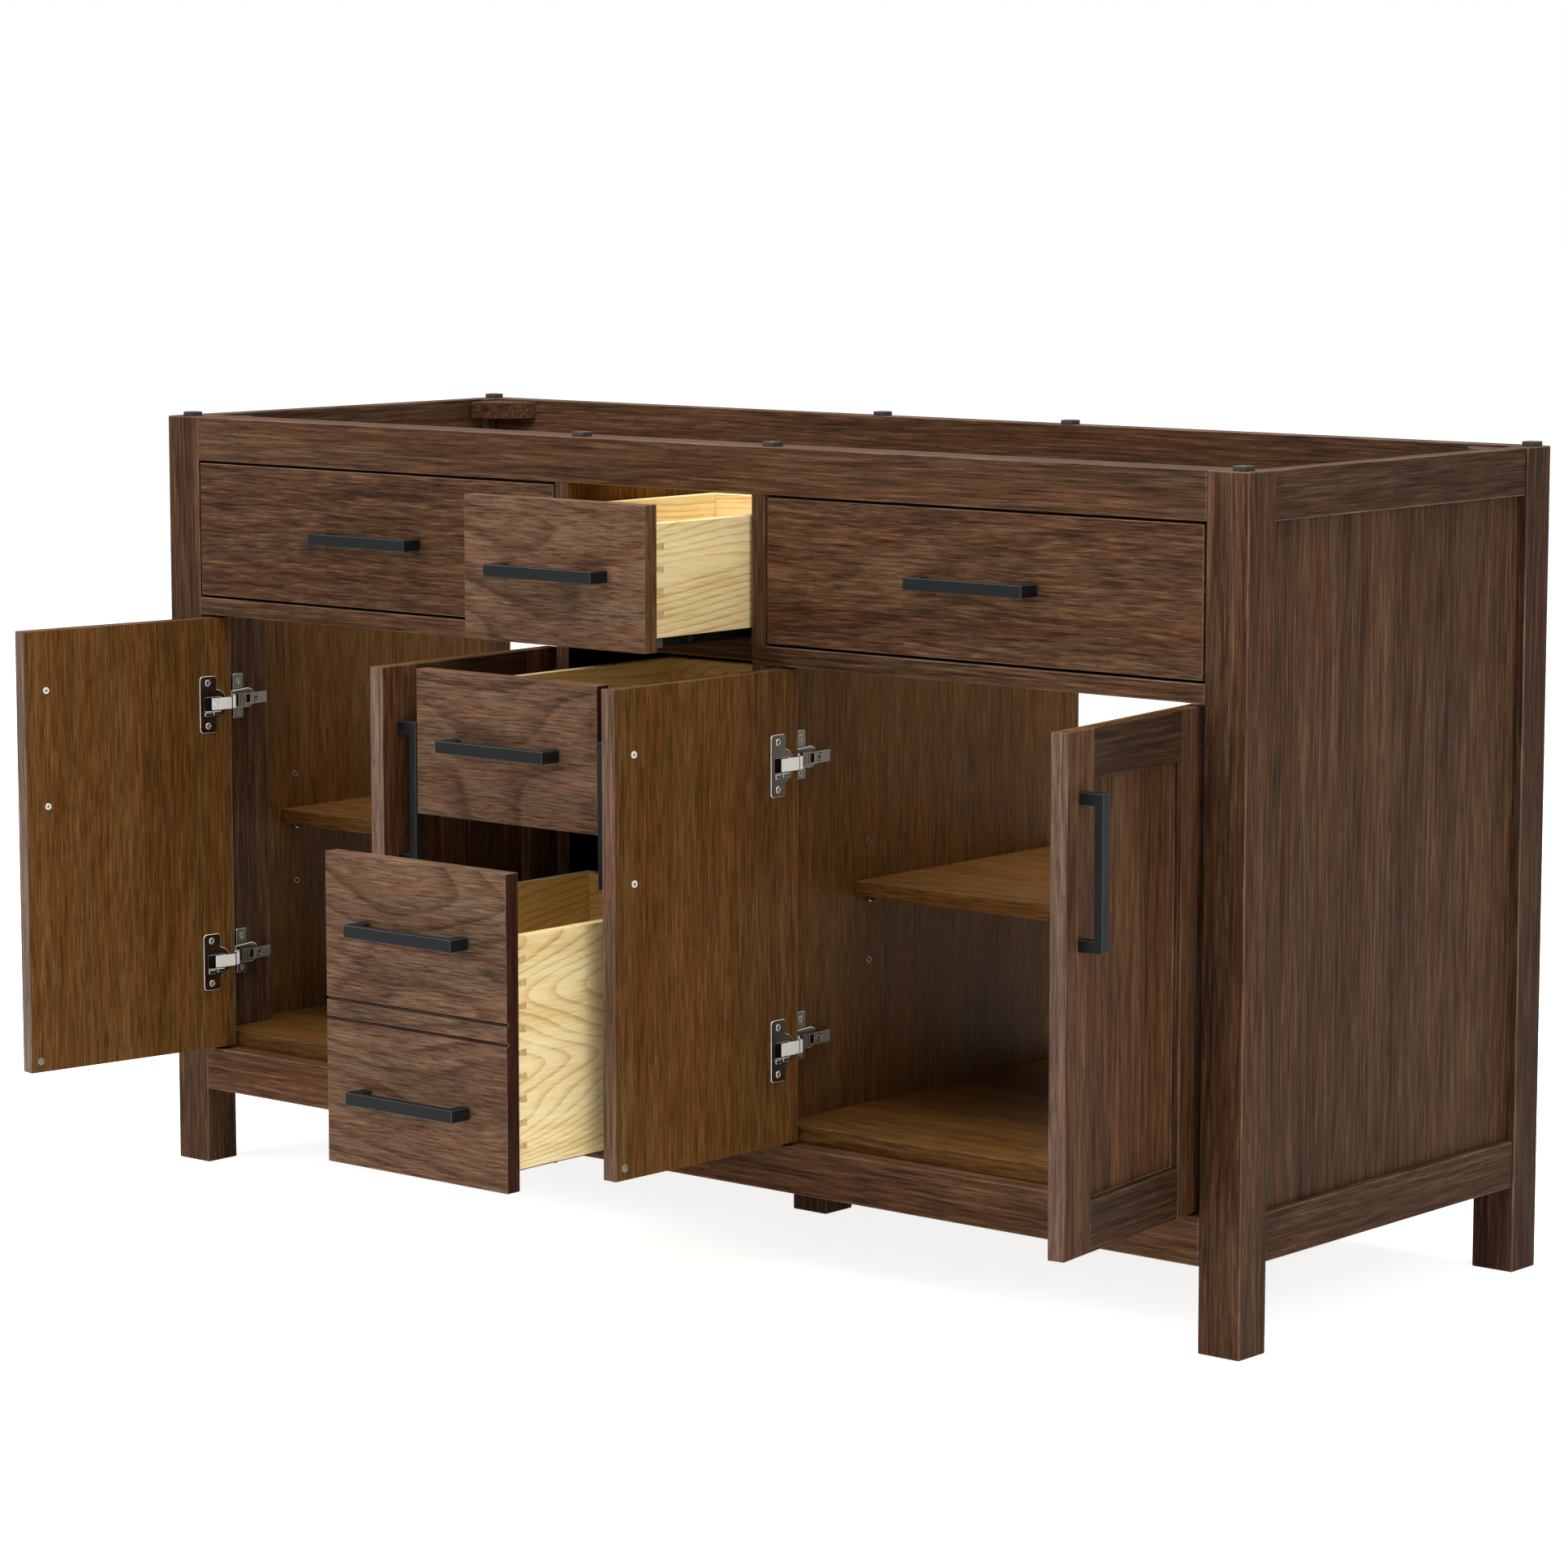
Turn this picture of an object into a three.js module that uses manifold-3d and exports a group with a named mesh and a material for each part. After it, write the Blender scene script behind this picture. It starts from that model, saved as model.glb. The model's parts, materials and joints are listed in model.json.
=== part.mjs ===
// Bathroom vanity cabinet: two bays with double doors, a centre column of three drawers,
// two fixed false fronts, five legs, an open back and an open top for a counter and basins.
// Millimetres, +Z up. The origin is on the floor at the centre of the footprint, under the
// centre leg. +X runs along the front to the right and the front faces -Y.
// The doors stand open and the drawers stand part-way out, so that every piece can be seen.

import * as THREE from 'three';
import { mergeVertices } from 'three/addons/utils/BufferGeometryUtils.js';
import Module from 'manifold-3d';

const wasm = await Module();
wasm.setup();

// Overall size
const WIDTH = 1524;
const DEPTH = 548;
const HEIGHT = 876;
const RIGHT = WIDTH / 2;
const FRONT = -DEPTH / 2;
const BACK = DEPTH / 2;

// Clearances
const GAP = 0.3; // between pieces that are glued or screwed together
const REVEAL = 3; // round each drawer front and false front, and above and below the doors
const HINGE_REVEAL = 2; // beside a door's hinge edge

// Legs
const LEG_WIDTH = 50;
const LEG_DEPTH = 45;
const BACK_LEG_UPPER_WIDTH = 25;
const CENTRE_LEG_WIDTH = 48;
const CENTRE_LEG_DEPTH = 46;
const HINGE_BLOCK_WIDTH = 25;
const HINGE_BLOCK_DEPTH = 59;

// Rails
const RAIL_HEIGHT = 50;
const WIDE_RAIL_DEPTH = 46; // front rails, top and bottom
const THIN_RAIL_DEPTH = 20; // side and back rails
const SIDE_RAIL_INSET = 2;
const BOTTOM_RAIL_TOP = 138;
const SIDE_BOTTOM_RAIL_TOP = 142;
const CROSS_RAIL_HEIGHT = 20; // between the drawers and under the false fronts
const CENTRE_RAIL_DEPTH = 40;
const CENTRE_RAIL_SETBACK = 22;

// Panels
const SIDE_PANEL_INSET = 11;
const BOARD = 18; // doors, fronts, partitions and floor
const FLOOR_SETBACK = 25.5;
const SHELF_THICKNESS = 17;
const SHELF_TOP = 402;
const SHELF_FRONT = -126;
const SHELF_DEPTH = 380;
const SHELF_SIDE_CLEARANCE = 1.5;

// Column of drawers
const COLUMN_HALF_WIDTH = 131;
const DRAWER_BOX_HALF_WIDTH = 126;
const DRAWER_BOX_LENGTH = 380;
const DRAWER_SIDE = 13;
const DRAWER_BOTTOM = 6;
const DRAWER_BOTTOM_RECESS = 12;
const FALSE_FRONT_BOTTOM = 670.5;
const FALSE_FRONT_TOP = 823;
const BACKER = 9.5; // the board behind each false front, which closes the gap round it

// Undermount slides
const SLIDE_LENGTH = 381;
const SLIDE_FLANGE = 3.6;
const SLIDE_FLANGE_RISE = 30;
const SLIDE_DROP = 6;
const SLIDE_LIP = 17;
const SLIDE_CLEARANCE = 1;

// Doors
const DOOR_WIDTH = 278;
const DOOR_BOTTOM = 141;
const DOOR_TOP = 645;
const DOOR_FRAME = 50;
const DOOR_PANEL_RECESS = 9;
const PIVOT_FROM_EDGE = 14;

// How far each door stands open and how far its pivot lies behind its outer face. The outer doors
// hang on the legs and the inner doors hang beside the drawers.
const LEFT_OUTER_DOOR = { angle: 99.3, pivotDepth: 6 };
const RIGHT_OUTER_DOOR = { angle: 97.8, pivotDepth: 6 };
const INNER_DOOR = { angle: 91.5, pivotDepth: 3 };

// Concealed hinges
const HINGE_FROM_TOP = 100;
const HINGE_FROM_BOTTOM = 102;
const HINGE_ARM_FRONT_CLEARANCE = 26;
const HINGE_ARM_LENGTH = 75;
const HINGE_ARM_HEIGHT = 13;
const HINGE_PLATE_FROM_FRONT = 55;
const HINGE_PLATE_HEIGHT = 50;
const HINGE_PLATE_WIDTH = 16;
const HINGE_PLATE_THICKNESS = 2.5;

// Bar handles
const HANDLE_LENGTH = 152;
const HANDLE_HEIGHT = 13;
const HANDLE_BAR = 9.5;
const HANDLE_POST = 12;
const HANDLE_REACH = 26.5;
const DOOR_HANDLE_FROM_EDGE = 28;
const DOOR_HANDLE_CENTRE = 511;

// Each drawer: front bottom and top, box bottom and top, how far out it stands,
// and the heights of its handles
const DRAWERS = [
  { name: 'top', front: [670.5, 823], box: [685, 803], out: 164, handles: [747] },
  { name: 'middle', front: [491, 644], box: [507, 625], out: 238, handles: [568] },
  { name: 'bottom', front: [141, 466.5], box: [163, 401], out: 374, handles: [217, 391] },
];

const FINISHES = {
  walnut: { color: 0x4a3026, roughness: 0.5, metalness: 0 },
  walnutInside: { color: 0x57381f, roughness: 0.5, metalness: 0 },
  pine: { color: 0xe6cf98, roughness: 0.55, metalness: 0 },
  blackMetal: { color: 0x1d1e20, roughness: 0.45, metalness: 0.6 },
  nickel: { color: 0xc9c5bc, roughness: 0.25, metalness: 1 },
  blackSteel: { color: 0x111214, roughness: 0.5, metalness: 0.7 },
};

const object = new THREE.Group();

// ---- Helpers -------------------------------------------------------------------------

function addMesh(name, finish, geometry, parent = object) {
  const mesh = new THREE.Mesh(geometry, new THREE.MeshStandardMaterial(FINISHES[finish]));
  mesh.name = name;
  parent.add(mesh);
  return mesh;
}

// A box from three spans, each [low, high].
function boxGeometry([x, y, z]) {
  const geometry = new THREE.BoxGeometry(x[1] - x[0], y[1] - y[0], z[1] - z[0]);
  return geometry.translate((x[0] + x[1]) / 2, (y[0] + y[1]) / 2, (z[0] + z[1]) / 2);
}

function addBox(name, finish, spans, parent = object) {
  return addMesh(name, finish, boxGeometry(spans), parent);
}

function toSolid(geometry) {
  const bare = geometry.clone();
  bare.deleteAttribute('normal');
  bare.deleteAttribute('uv');
  const merged = mergeVertices(bare);
  const vertProperties = new Float32Array(merged.attributes.position.array);
  const triVerts = new Uint32Array(merged.index.array);
  return new wasm.Manifold(new wasm.Mesh({ numProp: 3, vertProperties, triVerts }));
}

function fromSolid(solid) {
  const mesh = solid.getMesh();
  const geometry = new THREE.BufferGeometry();
  geometry.setAttribute('position', new THREE.BufferAttribute(mesh.vertProperties, 3));
  geometry.setIndex(new THREE.BufferAttribute(mesh.triVerts, 1));
  geometry.computeVertexNormals();
  return geometry;
}

function join(...geometries) {
  const solids = geometries.map(toSolid);
  return fromSolid(solids.reduce((sum, solid) => sum.add(solid)));
}

function cut(geometry, ...tools) {
  const solids = tools.map(toSolid);
  return fromSolid(solids.reduce((rest, tool) => rest.subtract(tool), toSolid(geometry)));
}

// A span given for the right-hand side, turned over for the left-hand side.
function onSide(side, [low, high]) {
  return side > 0 ? [low, high] : [-high, -low];
}

function polygon(points) {
  return new THREE.Shape(points.map(([x, y]) => new THREE.Vector2(x, y)));
}

const SIDES = [
  { word: 'left', side: -1 },
  { word: 'right', side: 1 },
];

// ---- Carcass -------------------------------------------------------------------------

const legInnerFace = RIGHT - LEG_WIDTH;
const sideInnerFace = RIGHT - HINGE_BLOCK_WIDTH;
const legFrontBack = FRONT + LEG_DEPTH;
const legBackFront = BACK - LEG_DEPTH;
const topRailBottom = HEIGHT - RAIL_HEIGHT;
const floorTop = BOTTOM_RAIL_TOP + GAP + BOARD;
const columnOuterFace = COLUMN_HALF_WIDTH + BOARD;
const crossRailTop = FALSE_FRONT_BOTTOM - REVEAL;
const crossRailBottom = crossRailTop - CROSS_RAIL_HEIGHT;

function addLegs() {
  for (const { word, side } of SIDES) {
    const wide = onSide(side, [legInnerFace, RIGHT]);
    const hingeBlock = boxGeometry([
      onSide(side, [legInnerFace, sideInnerFace]),
      [legFrontBack - 1, legFrontBack + HINGE_BLOCK_DEPTH],
      [floorTop + GAP, topRailBottom],
    ]);
    const post = boxGeometry([wide, [FRONT, legFrontBack], [0, HEIGHT]]);
    addMesh(`leg_front_${word}`, 'walnut', join(post, hingeBlock));

    const narrow = onSide(side, [RIGHT - BACK_LEG_UPPER_WIDTH, RIGHT]);
    const foot = boxGeometry([wide, [legBackFront, BACK], [0, BOTTOM_RAIL_TOP]]);
    const upper = boxGeometry([narrow, [legBackFront, BACK], [BOTTOM_RAIL_TOP - 1, HEIGHT]]);
    addMesh(`leg_back_${word}`, 'walnut', join(foot, upper));
  }
  addBox('leg_centre', 'walnut', [
    [-CENTRE_LEG_WIDTH / 2, CENTRE_LEG_WIDTH / 2],
    [-CENTRE_LEG_DEPTH / 2, CENTRE_LEG_DEPTH / 2],
    [0, BOTTOM_RAIL_TOP],
  ]);
}

function addRails() {
  const betweenLegs = [-legInnerFace + GAP, legInnerFace - GAP];
  const betweenUpperBackLegs = [-sideInnerFace + GAP, sideInnerFace - GAP];
  const frontRailDepth = [FRONT, FRONT + WIDE_RAIL_DEPTH];
  const backRailDepth = [BACK - THIN_RAIL_DEPTH, BACK];
  const topHeights = [topRailBottom, HEIGHT];
  const bottomHeights = [BOTTOM_RAIL_TOP - RAIL_HEIGHT, BOTTOM_RAIL_TOP];
  addBox('rail_top_front', 'walnut', [betweenLegs, frontRailDepth, topHeights]);
  addBox('rail_top_back', 'walnut', [betweenUpperBackLegs, backRailDepth, topHeights]);
  addBox('rail_bottom_front', 'walnut', [betweenLegs, frontRailDepth, bottomHeights]);
  addBox('rail_bottom_back', 'walnut', [betweenLegs, backRailDepth, bottomHeights]);

  const sideRailOuter = RIGHT - SIDE_RAIL_INSET;
  const betweenFrontAndBack = [legFrontBack + GAP, legBackFront - GAP];
  for (const { word, side } of SIDES) {
    const across = onSide(side, [sideRailOuter - THIN_RAIL_DEPTH, sideRailOuter]);
    const low = [SIDE_BOTTOM_RAIL_TOP - RAIL_HEIGHT, SIDE_BOTTOM_RAIL_TOP];
    addBox(`rail_top_${word}`, 'walnut', [across, betweenFrontAndBack, topHeights]);
    addBox(`rail_bottom_${word}`, 'walnut', [across, betweenFrontAndBack, low]);
  }
}

// The rail under each false front laps over the front edge of the partition.
function addCrossRails() {
  for (const { word, side } of SIDES) {
    addBox(`rail_middle_${word}`, 'walnut', [
      onSide(side, [COLUMN_HALF_WIDTH, legInnerFace - GAP]),
      [FRONT, FRONT + THIN_RAIL_DEPTH],
      [crossRailBottom, crossRailTop],
    ]);
  }
  const lowerTop = DRAWERS[1].front[0] - REVEAL;
  const heights = { upper: crossRailTop, lower: lowerTop };
  for (const [word, top] of Object.entries(heights)) {
    addBox(`rail_drawers_${word}`, 'walnut', [
      [-COLUMN_HALF_WIDTH + GAP, COLUMN_HALF_WIDTH - GAP],
      [FRONT + CENTRE_RAIL_SETBACK, FRONT + CENTRE_RAIL_SETBACK + CENTRE_RAIL_DEPTH],
      [top - CROSS_RAIL_HEIGHT, top],
    ]);
  }
}

function addPanels() {
  for (const { word, side } of SIDES) {
    addBox(`panel_side_${word}`, 'walnut', [
      onSide(side, [sideInnerFace + GAP, RIGHT - SIDE_PANEL_INSET]),
      [legFrontBack + GAP, legBackFront - GAP],
      [SIDE_BOTTOM_RAIL_TOP + GAP, topRailBottom - GAP],
    ]);
  }
  addMesh('panel_floor', 'walnutInside', floorGeometry());
}

// The floor lies on the bottom rails, and its front corners are cut out for the legs.
function floorGeometry() {
  const heights = [BOTTOM_RAIL_TOP + GAP, floorTop];
  const board = boxGeometry([
    [-sideInnerFace + GAP, sideInnerFace - GAP],
    [FRONT + FLOOR_SETBACK, BACK - GAP],
    heights,
  ]);
  const corners = SIDES.map(({ side }) => boxGeometry([
    onSide(side, [legInnerFace - GAP, RIGHT]),
    [FRONT, legFrontBack + GAP],
    [heights[0] - 1, heights[1] + 1],
  ]));
  return cut(board, ...corners);
}

function addPartitions() {
  for (const { word, side } of SIDES) {
    const across = onSide(side, [COLUMN_HALF_WIDTH, columnOuterFace]);
    const wider = [across[0] - 1, across[1] + 1];
    const board = boxGeometry([
      across,
      [FRONT, BACK - GAP],
      [BOTTOM_RAIL_TOP + GAP, topRailBottom - GAP],
    ]);
    const railNotch = boxGeometry([
      wider,
      [FRONT - 1, FRONT + THIN_RAIL_DEPTH + GAP],
      [crossRailBottom - GAP, crossRailTop + GAP],
    ]);
    const floorNotch = boxGeometry([
      wider,
      [FRONT + FLOOR_SETBACK - GAP, BACK],
      [BOTTOM_RAIL_TOP, floorTop + GAP],
    ]);
    addMesh(`partition_${word}`, 'walnutInside', cut(board, railNotch, floorNotch));
  }
}

function addShelves() {
  for (const { word, side } of SIDES) {
    addBox(`shelf_${word}`, 'walnutInside', [
      onSide(side, [
        columnOuterFace + SHELF_SIDE_CLEARANCE,
        sideInnerFace - SHELF_SIDE_CLEARANCE,
      ]),
      [SHELF_FRONT, SHELF_FRONT + SHELF_DEPTH],
      [SHELF_TOP - SHELF_THICKNESS, SHELF_TOP],
    ]);
  }
}

function addFalseFronts() {
  for (const { word, side } of SIDES) {
    const across = onSide(side, [columnOuterFace + REVEAL, legInnerFace - REVEAL]);
    const front = boxGeometry([
      across,
      [FRONT, FRONT + BOARD],
      [FALSE_FRONT_BOTTOM, FALSE_FRONT_TOP],
    ]);
    const backer = boxGeometry([
      onSide(side, [columnOuterFace + GAP, legInnerFace - GAP]),
      [FRONT + BOARD - 1, FRONT + BOARD + BACKER],
      [crossRailTop + GAP, topRailBottom - GAP],
    ]);
    addMesh(`false_front_${word}`, 'walnut', join(front, backer));
    const middle = (across[0] + across[1]) / 2;
    const height = (FALSE_FRONT_BOTTOM + FALSE_FRONT_TOP) / 2;
    addHandle(`handle_false_front_${word}`, [middle, FRONT, height], false);
  }
}

// ---- Handles -------------------------------------------------------------------------

// A square bar on two square posts, lying along X with its posts towards +Y.
function handleGeometry() {
  const end = HANDLE_LENGTH / 2;
  const post = end - HANDLE_POST;
  const barBack = -(HANDLE_REACH - HANDLE_BAR);
  const outline = polygon([
    [-end, -GAP], [-end, -HANDLE_REACH], [end, -HANDLE_REACH], [end, -GAP],
    [post, -GAP], [post, barBack], [-post, barBack], [-post, -GAP],
  ]);
  const options = { depth: HANDLE_HEIGHT, bevelEnabled: false };
  return new THREE.ExtrudeGeometry(outline, options).translate(0, 0, -HANDLE_HEIGHT / 2);
}

function addHandle(name, place, upright, parent = object) {
  const mesh = addMesh(name, 'blackMetal', handleGeometry(), parent);
  mesh.position.set(...place);
  mesh.rotation.y = upright ? Math.PI / 2 : 0;
}

// ---- Doors ---------------------------------------------------------------------------

// toFree is +1 where the free edge lies towards +X of the hinge edge when the door is shut.
function addDoor(name, hingeEdge, toFree, { angle, pivotDepth }) {
  const group = new THREE.Group();
  group.position.set(hingeEdge + toFree * PIVOT_FROM_EDGE, FRONT + pivotDepth, 0);
  group.rotation.z = -toFree * THREE.MathUtils.degToRad(angle);
  object.add(group);

  const freeEdge = DOOR_WIDTH - PIVOT_FROM_EDGE;
  const face = -pivotDepth;
  const board = boxGeometry([
    onSide(toFree, [-PIVOT_FROM_EDGE, freeEdge]),
    [face, face + BOARD],
    [DOOR_BOTTOM, DOOR_TOP],
  ]);
  const recess = boxGeometry([
    onSide(toFree, [DOOR_FRAME - PIVOT_FROM_EDGE, freeEdge - DOOR_FRAME]),
    [face - 1, face + DOOR_PANEL_RECESS],
    [DOOR_BOTTOM + DOOR_FRAME, DOOR_TOP - DOOR_FRAME],
  ]);
  addMesh(name, 'walnut', cut(board, recess), group);

  const handleX = toFree * (freeEdge - DOOR_HANDLE_FROM_EDGE);
  addHandle(`handle_${name}`, [handleX, face, DOOR_HANDLE_CENTRE], true, group);
}

function addDoors() {
  const outer = legInnerFace - HINGE_REVEAL;
  const inner = columnOuterFace + HINGE_REVEAL;
  addDoor('door_1', -outer, 1, LEFT_OUTER_DOOR);
  addDoor('door_2', -inner, -1, INNER_DOOR);
  addDoor('door_3', inner, 1, INNER_DOOR);
  addDoor('door_4', outer, -1, RIGHT_OUTER_DOOR);
}

// ---- Hinges --------------------------------------------------------------------------

// The cross-shaped plate that is screwed to the post, with the arm that bridges forward
// from it. The post's face is at x = 0 and the piece stands out towards +X.
function hingeArmGeometry() {
  const wing = HINGE_PLATE_WIDTH / 2;
  const tip = HINGE_PLATE_HEIGHT / 2;
  const armFront = HINGE_ARM_FRONT_CLEARANCE - HINGE_PLATE_FROM_FRONT;
  const armBack = armFront + HINGE_ARM_LENGTH;
  const half = HINGE_ARM_HEIGHT / 2;
  const wings = boxGeometry([[0, HINGE_PLATE_THICKNESS], [-wing, wing], [-tip, tip]]);
  const base = boxGeometry([[0, 6], [-wing - 6, wing + 14], [-half, half]]);
  const profile = polygon([
    [4, armBack - 12], [9, armBack], [13, armBack - 3], [16, armFront + 16],
    [16, armFront], [6, armFront], [6, armFront + 10], [4, armFront + 22],
  ]);
  const options = { depth: HINGE_ARM_HEIGHT, bevelEnabled: false };
  const arm = new THREE.ExtrudeGeometry(profile, options).translate(0, 0, -half);
  return join(wings, base, arm);
}

function addHinges() {
  const doors = [
    { door: 1, face: -legInnerFace, toFree: 1 },
    { door: 2, face: -columnOuterFace, toFree: -1 },
    { door: 3, face: columnOuterFace, toFree: 1 },
    { door: 4, face: legInnerFace, toFree: -1 },
  ];
  const heights = { upper: DOOR_TOP - HINGE_FROM_TOP, lower: DOOR_BOTTOM + HINGE_FROM_BOTTOM };
  for (const { door, face, toFree } of doors) {
    for (const [word, height] of Object.entries(heights)) {
      const mesh = addMesh(`hinge_door_${door}_${word}`, 'nickel', hingeArmGeometry());
      mesh.position.set(face + toFree * GAP, FRONT + HINGE_PLATE_FROM_FRONT, height);
      if (toFree < 0) {
        turnOver(mesh);
      }
    }
  }
}

// Mirrors a mesh's geometry in X and keeps its faces pointing out.
function turnOver(mesh) {
  const geometry = mesh.geometry;
  geometry.scale(-1, 1, 1);
  const index = geometry.index.array;
  for (let i = 0; i < index.length; i += 3) {
    [index[i], index[i + 1]] = [index[i + 1], index[i]];
  }
}

// ---- Drawers -------------------------------------------------------------------------

// Open-topped box whose bottom board is let in above the lower edges of the sides.
function drawerBoxGeometry([bottom, top]) {
  const start = FRONT + BOARD + GAP;
  const end = start + DRAWER_BOX_LENGTH;
  const half = DRAWER_BOX_HALF_WIDTH;
  const inner = half - DRAWER_SIDE;
  const bottomUnderside = bottom + DRAWER_BOTTOM_RECESS;
  const hollowLength = [start + DRAWER_SIDE, end - DRAWER_SIDE];
  const block = boxGeometry([[-half, half], [start, end], [bottom, top]]);
  const inside = boxGeometry([
    [-inner, inner], hollowLength, [bottomUnderside + DRAWER_BOTTOM, top + 1],
  ]);
  const underneath = boxGeometry([
    [-inner, inner], hollowLength, [bottom - 1, bottomUnderside],
  ]);
  return cut(block, inside, underneath);
}

function addDrawer({ name, front, box, out, handles }) {
  const group = new THREE.Group();
  group.position.y = -out;
  object.add(group);
  const half = COLUMN_HALF_WIDTH - REVEAL;
  addBox(`drawer_${name}_front`, 'walnut', [[-half, half], [FRONT, FRONT + BOARD], front], group);
  addMesh(`drawer_${name}_box`, 'pine', drawerBoxGeometry(box), group);
  const words = handles.length > 1 ? ['_lower', '_upper'] : [''];
  handles.forEach((height, i) => {
    addHandle(`handle_drawer_${name}${words[i]}`, [0, FRONT, height], false, group);
  });
}

// The fixed member of an undermount slide: a flange on the partition and a lip under the box.
function addSlides({ name, box }) {
  const start = FRONT + CENTRE_RAIL_SETBACK;
  const length = [start, start + SLIDE_LENGTH];
  const outer = COLUMN_HALF_WIDTH - GAP;
  const lipHeights = [box[0] - SLIDE_DROP, box[0] - SLIDE_CLEARANCE];
  for (const { word, side } of SIDES) {
    const flange = boxGeometry([
      onSide(side, [outer - SLIDE_FLANGE, outer]),
      length,
      [lipHeights[0], box[0] + SLIDE_FLANGE_RISE],
    ]);
    const lip = boxGeometry([onSide(side, [outer - SLIDE_LIP, outer]), length, lipHeights]);
    addMesh(`slide_${name}_${word}`, 'blackSteel', join(flange, lip));
  }
}

// ---- Assembly ------------------------------------------------------------------------

addLegs();
addRails();
addCrossRails();
addPanels();
addPartitions();
addShelves();
addFalseFronts();
addDoors();
addHinges();
for (const drawer of DRAWERS) {
  addDrawer(drawer);
  addSlides(drawer);
}

export default object;
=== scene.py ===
"""Bathroom vanity cabinet: detailed pieces, materials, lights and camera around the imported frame.

The axes are the frame's: +X along the front to the right, -Y to the front, +Z up. Shapes are drawn
in millimetres: `mm` makes them from the frame's metres, and `add` turns them back. Materials, the
floor, the lights and the camera are in metres. Doors are built shut, in an upright frame on their
hinge pivot, and then turned to their rest angle.
"""

import json
import math

import bmesh
import bpy
from mathutils import Matrix, Vector


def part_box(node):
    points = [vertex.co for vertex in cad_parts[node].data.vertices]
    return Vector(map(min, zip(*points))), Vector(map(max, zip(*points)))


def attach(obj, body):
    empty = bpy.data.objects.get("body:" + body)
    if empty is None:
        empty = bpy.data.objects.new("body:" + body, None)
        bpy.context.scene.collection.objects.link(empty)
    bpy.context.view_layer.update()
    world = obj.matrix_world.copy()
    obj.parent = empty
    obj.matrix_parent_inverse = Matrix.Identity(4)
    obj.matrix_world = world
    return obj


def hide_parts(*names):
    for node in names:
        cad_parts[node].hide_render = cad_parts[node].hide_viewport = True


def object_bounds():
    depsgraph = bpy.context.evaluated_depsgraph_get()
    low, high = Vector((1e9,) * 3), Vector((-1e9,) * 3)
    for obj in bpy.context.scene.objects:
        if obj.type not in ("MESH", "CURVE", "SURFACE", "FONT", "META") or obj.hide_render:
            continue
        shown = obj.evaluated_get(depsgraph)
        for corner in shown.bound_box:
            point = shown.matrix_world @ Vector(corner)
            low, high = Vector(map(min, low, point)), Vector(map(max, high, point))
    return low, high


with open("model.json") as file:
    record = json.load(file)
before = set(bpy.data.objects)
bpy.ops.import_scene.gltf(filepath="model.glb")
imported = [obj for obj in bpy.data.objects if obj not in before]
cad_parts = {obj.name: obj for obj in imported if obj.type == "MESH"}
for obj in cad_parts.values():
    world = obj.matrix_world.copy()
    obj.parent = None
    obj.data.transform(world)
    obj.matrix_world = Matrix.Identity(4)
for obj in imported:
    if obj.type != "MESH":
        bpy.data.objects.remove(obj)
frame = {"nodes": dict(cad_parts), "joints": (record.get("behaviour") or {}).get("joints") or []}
CAD_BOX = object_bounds()

MM = 0.001  # metres in a millimetre
X, Y, Z = 0, 1, 2
JOINTS = {joint["name"]: joint for joint in frame["joints"]}

# Outlines are drawn in a piece's own XY and pushed along its Z. These turn that Z to lie along X
# (outline in Y and Z) or along Y (outline in X and Z).
ALONG_X = Matrix(((0, 0, 1, 0), (1, 0, 0, 0), (0, 1, 0, 0), (0, 0, 0, 1)))
ALONG_Y = Matrix(((1, 0, 0, 0), (0, 0, 1, 0), (0, 1, 0, 0), (0, 0, 0, 1)))
ALONG_Z = Matrix.Identity(4)

# ---- Node materials ------------------------------------------------------------------


PIECE_STEP = (17.3, 29.1, 41.7)  # the furthest that a piece's texture is moved


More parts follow.
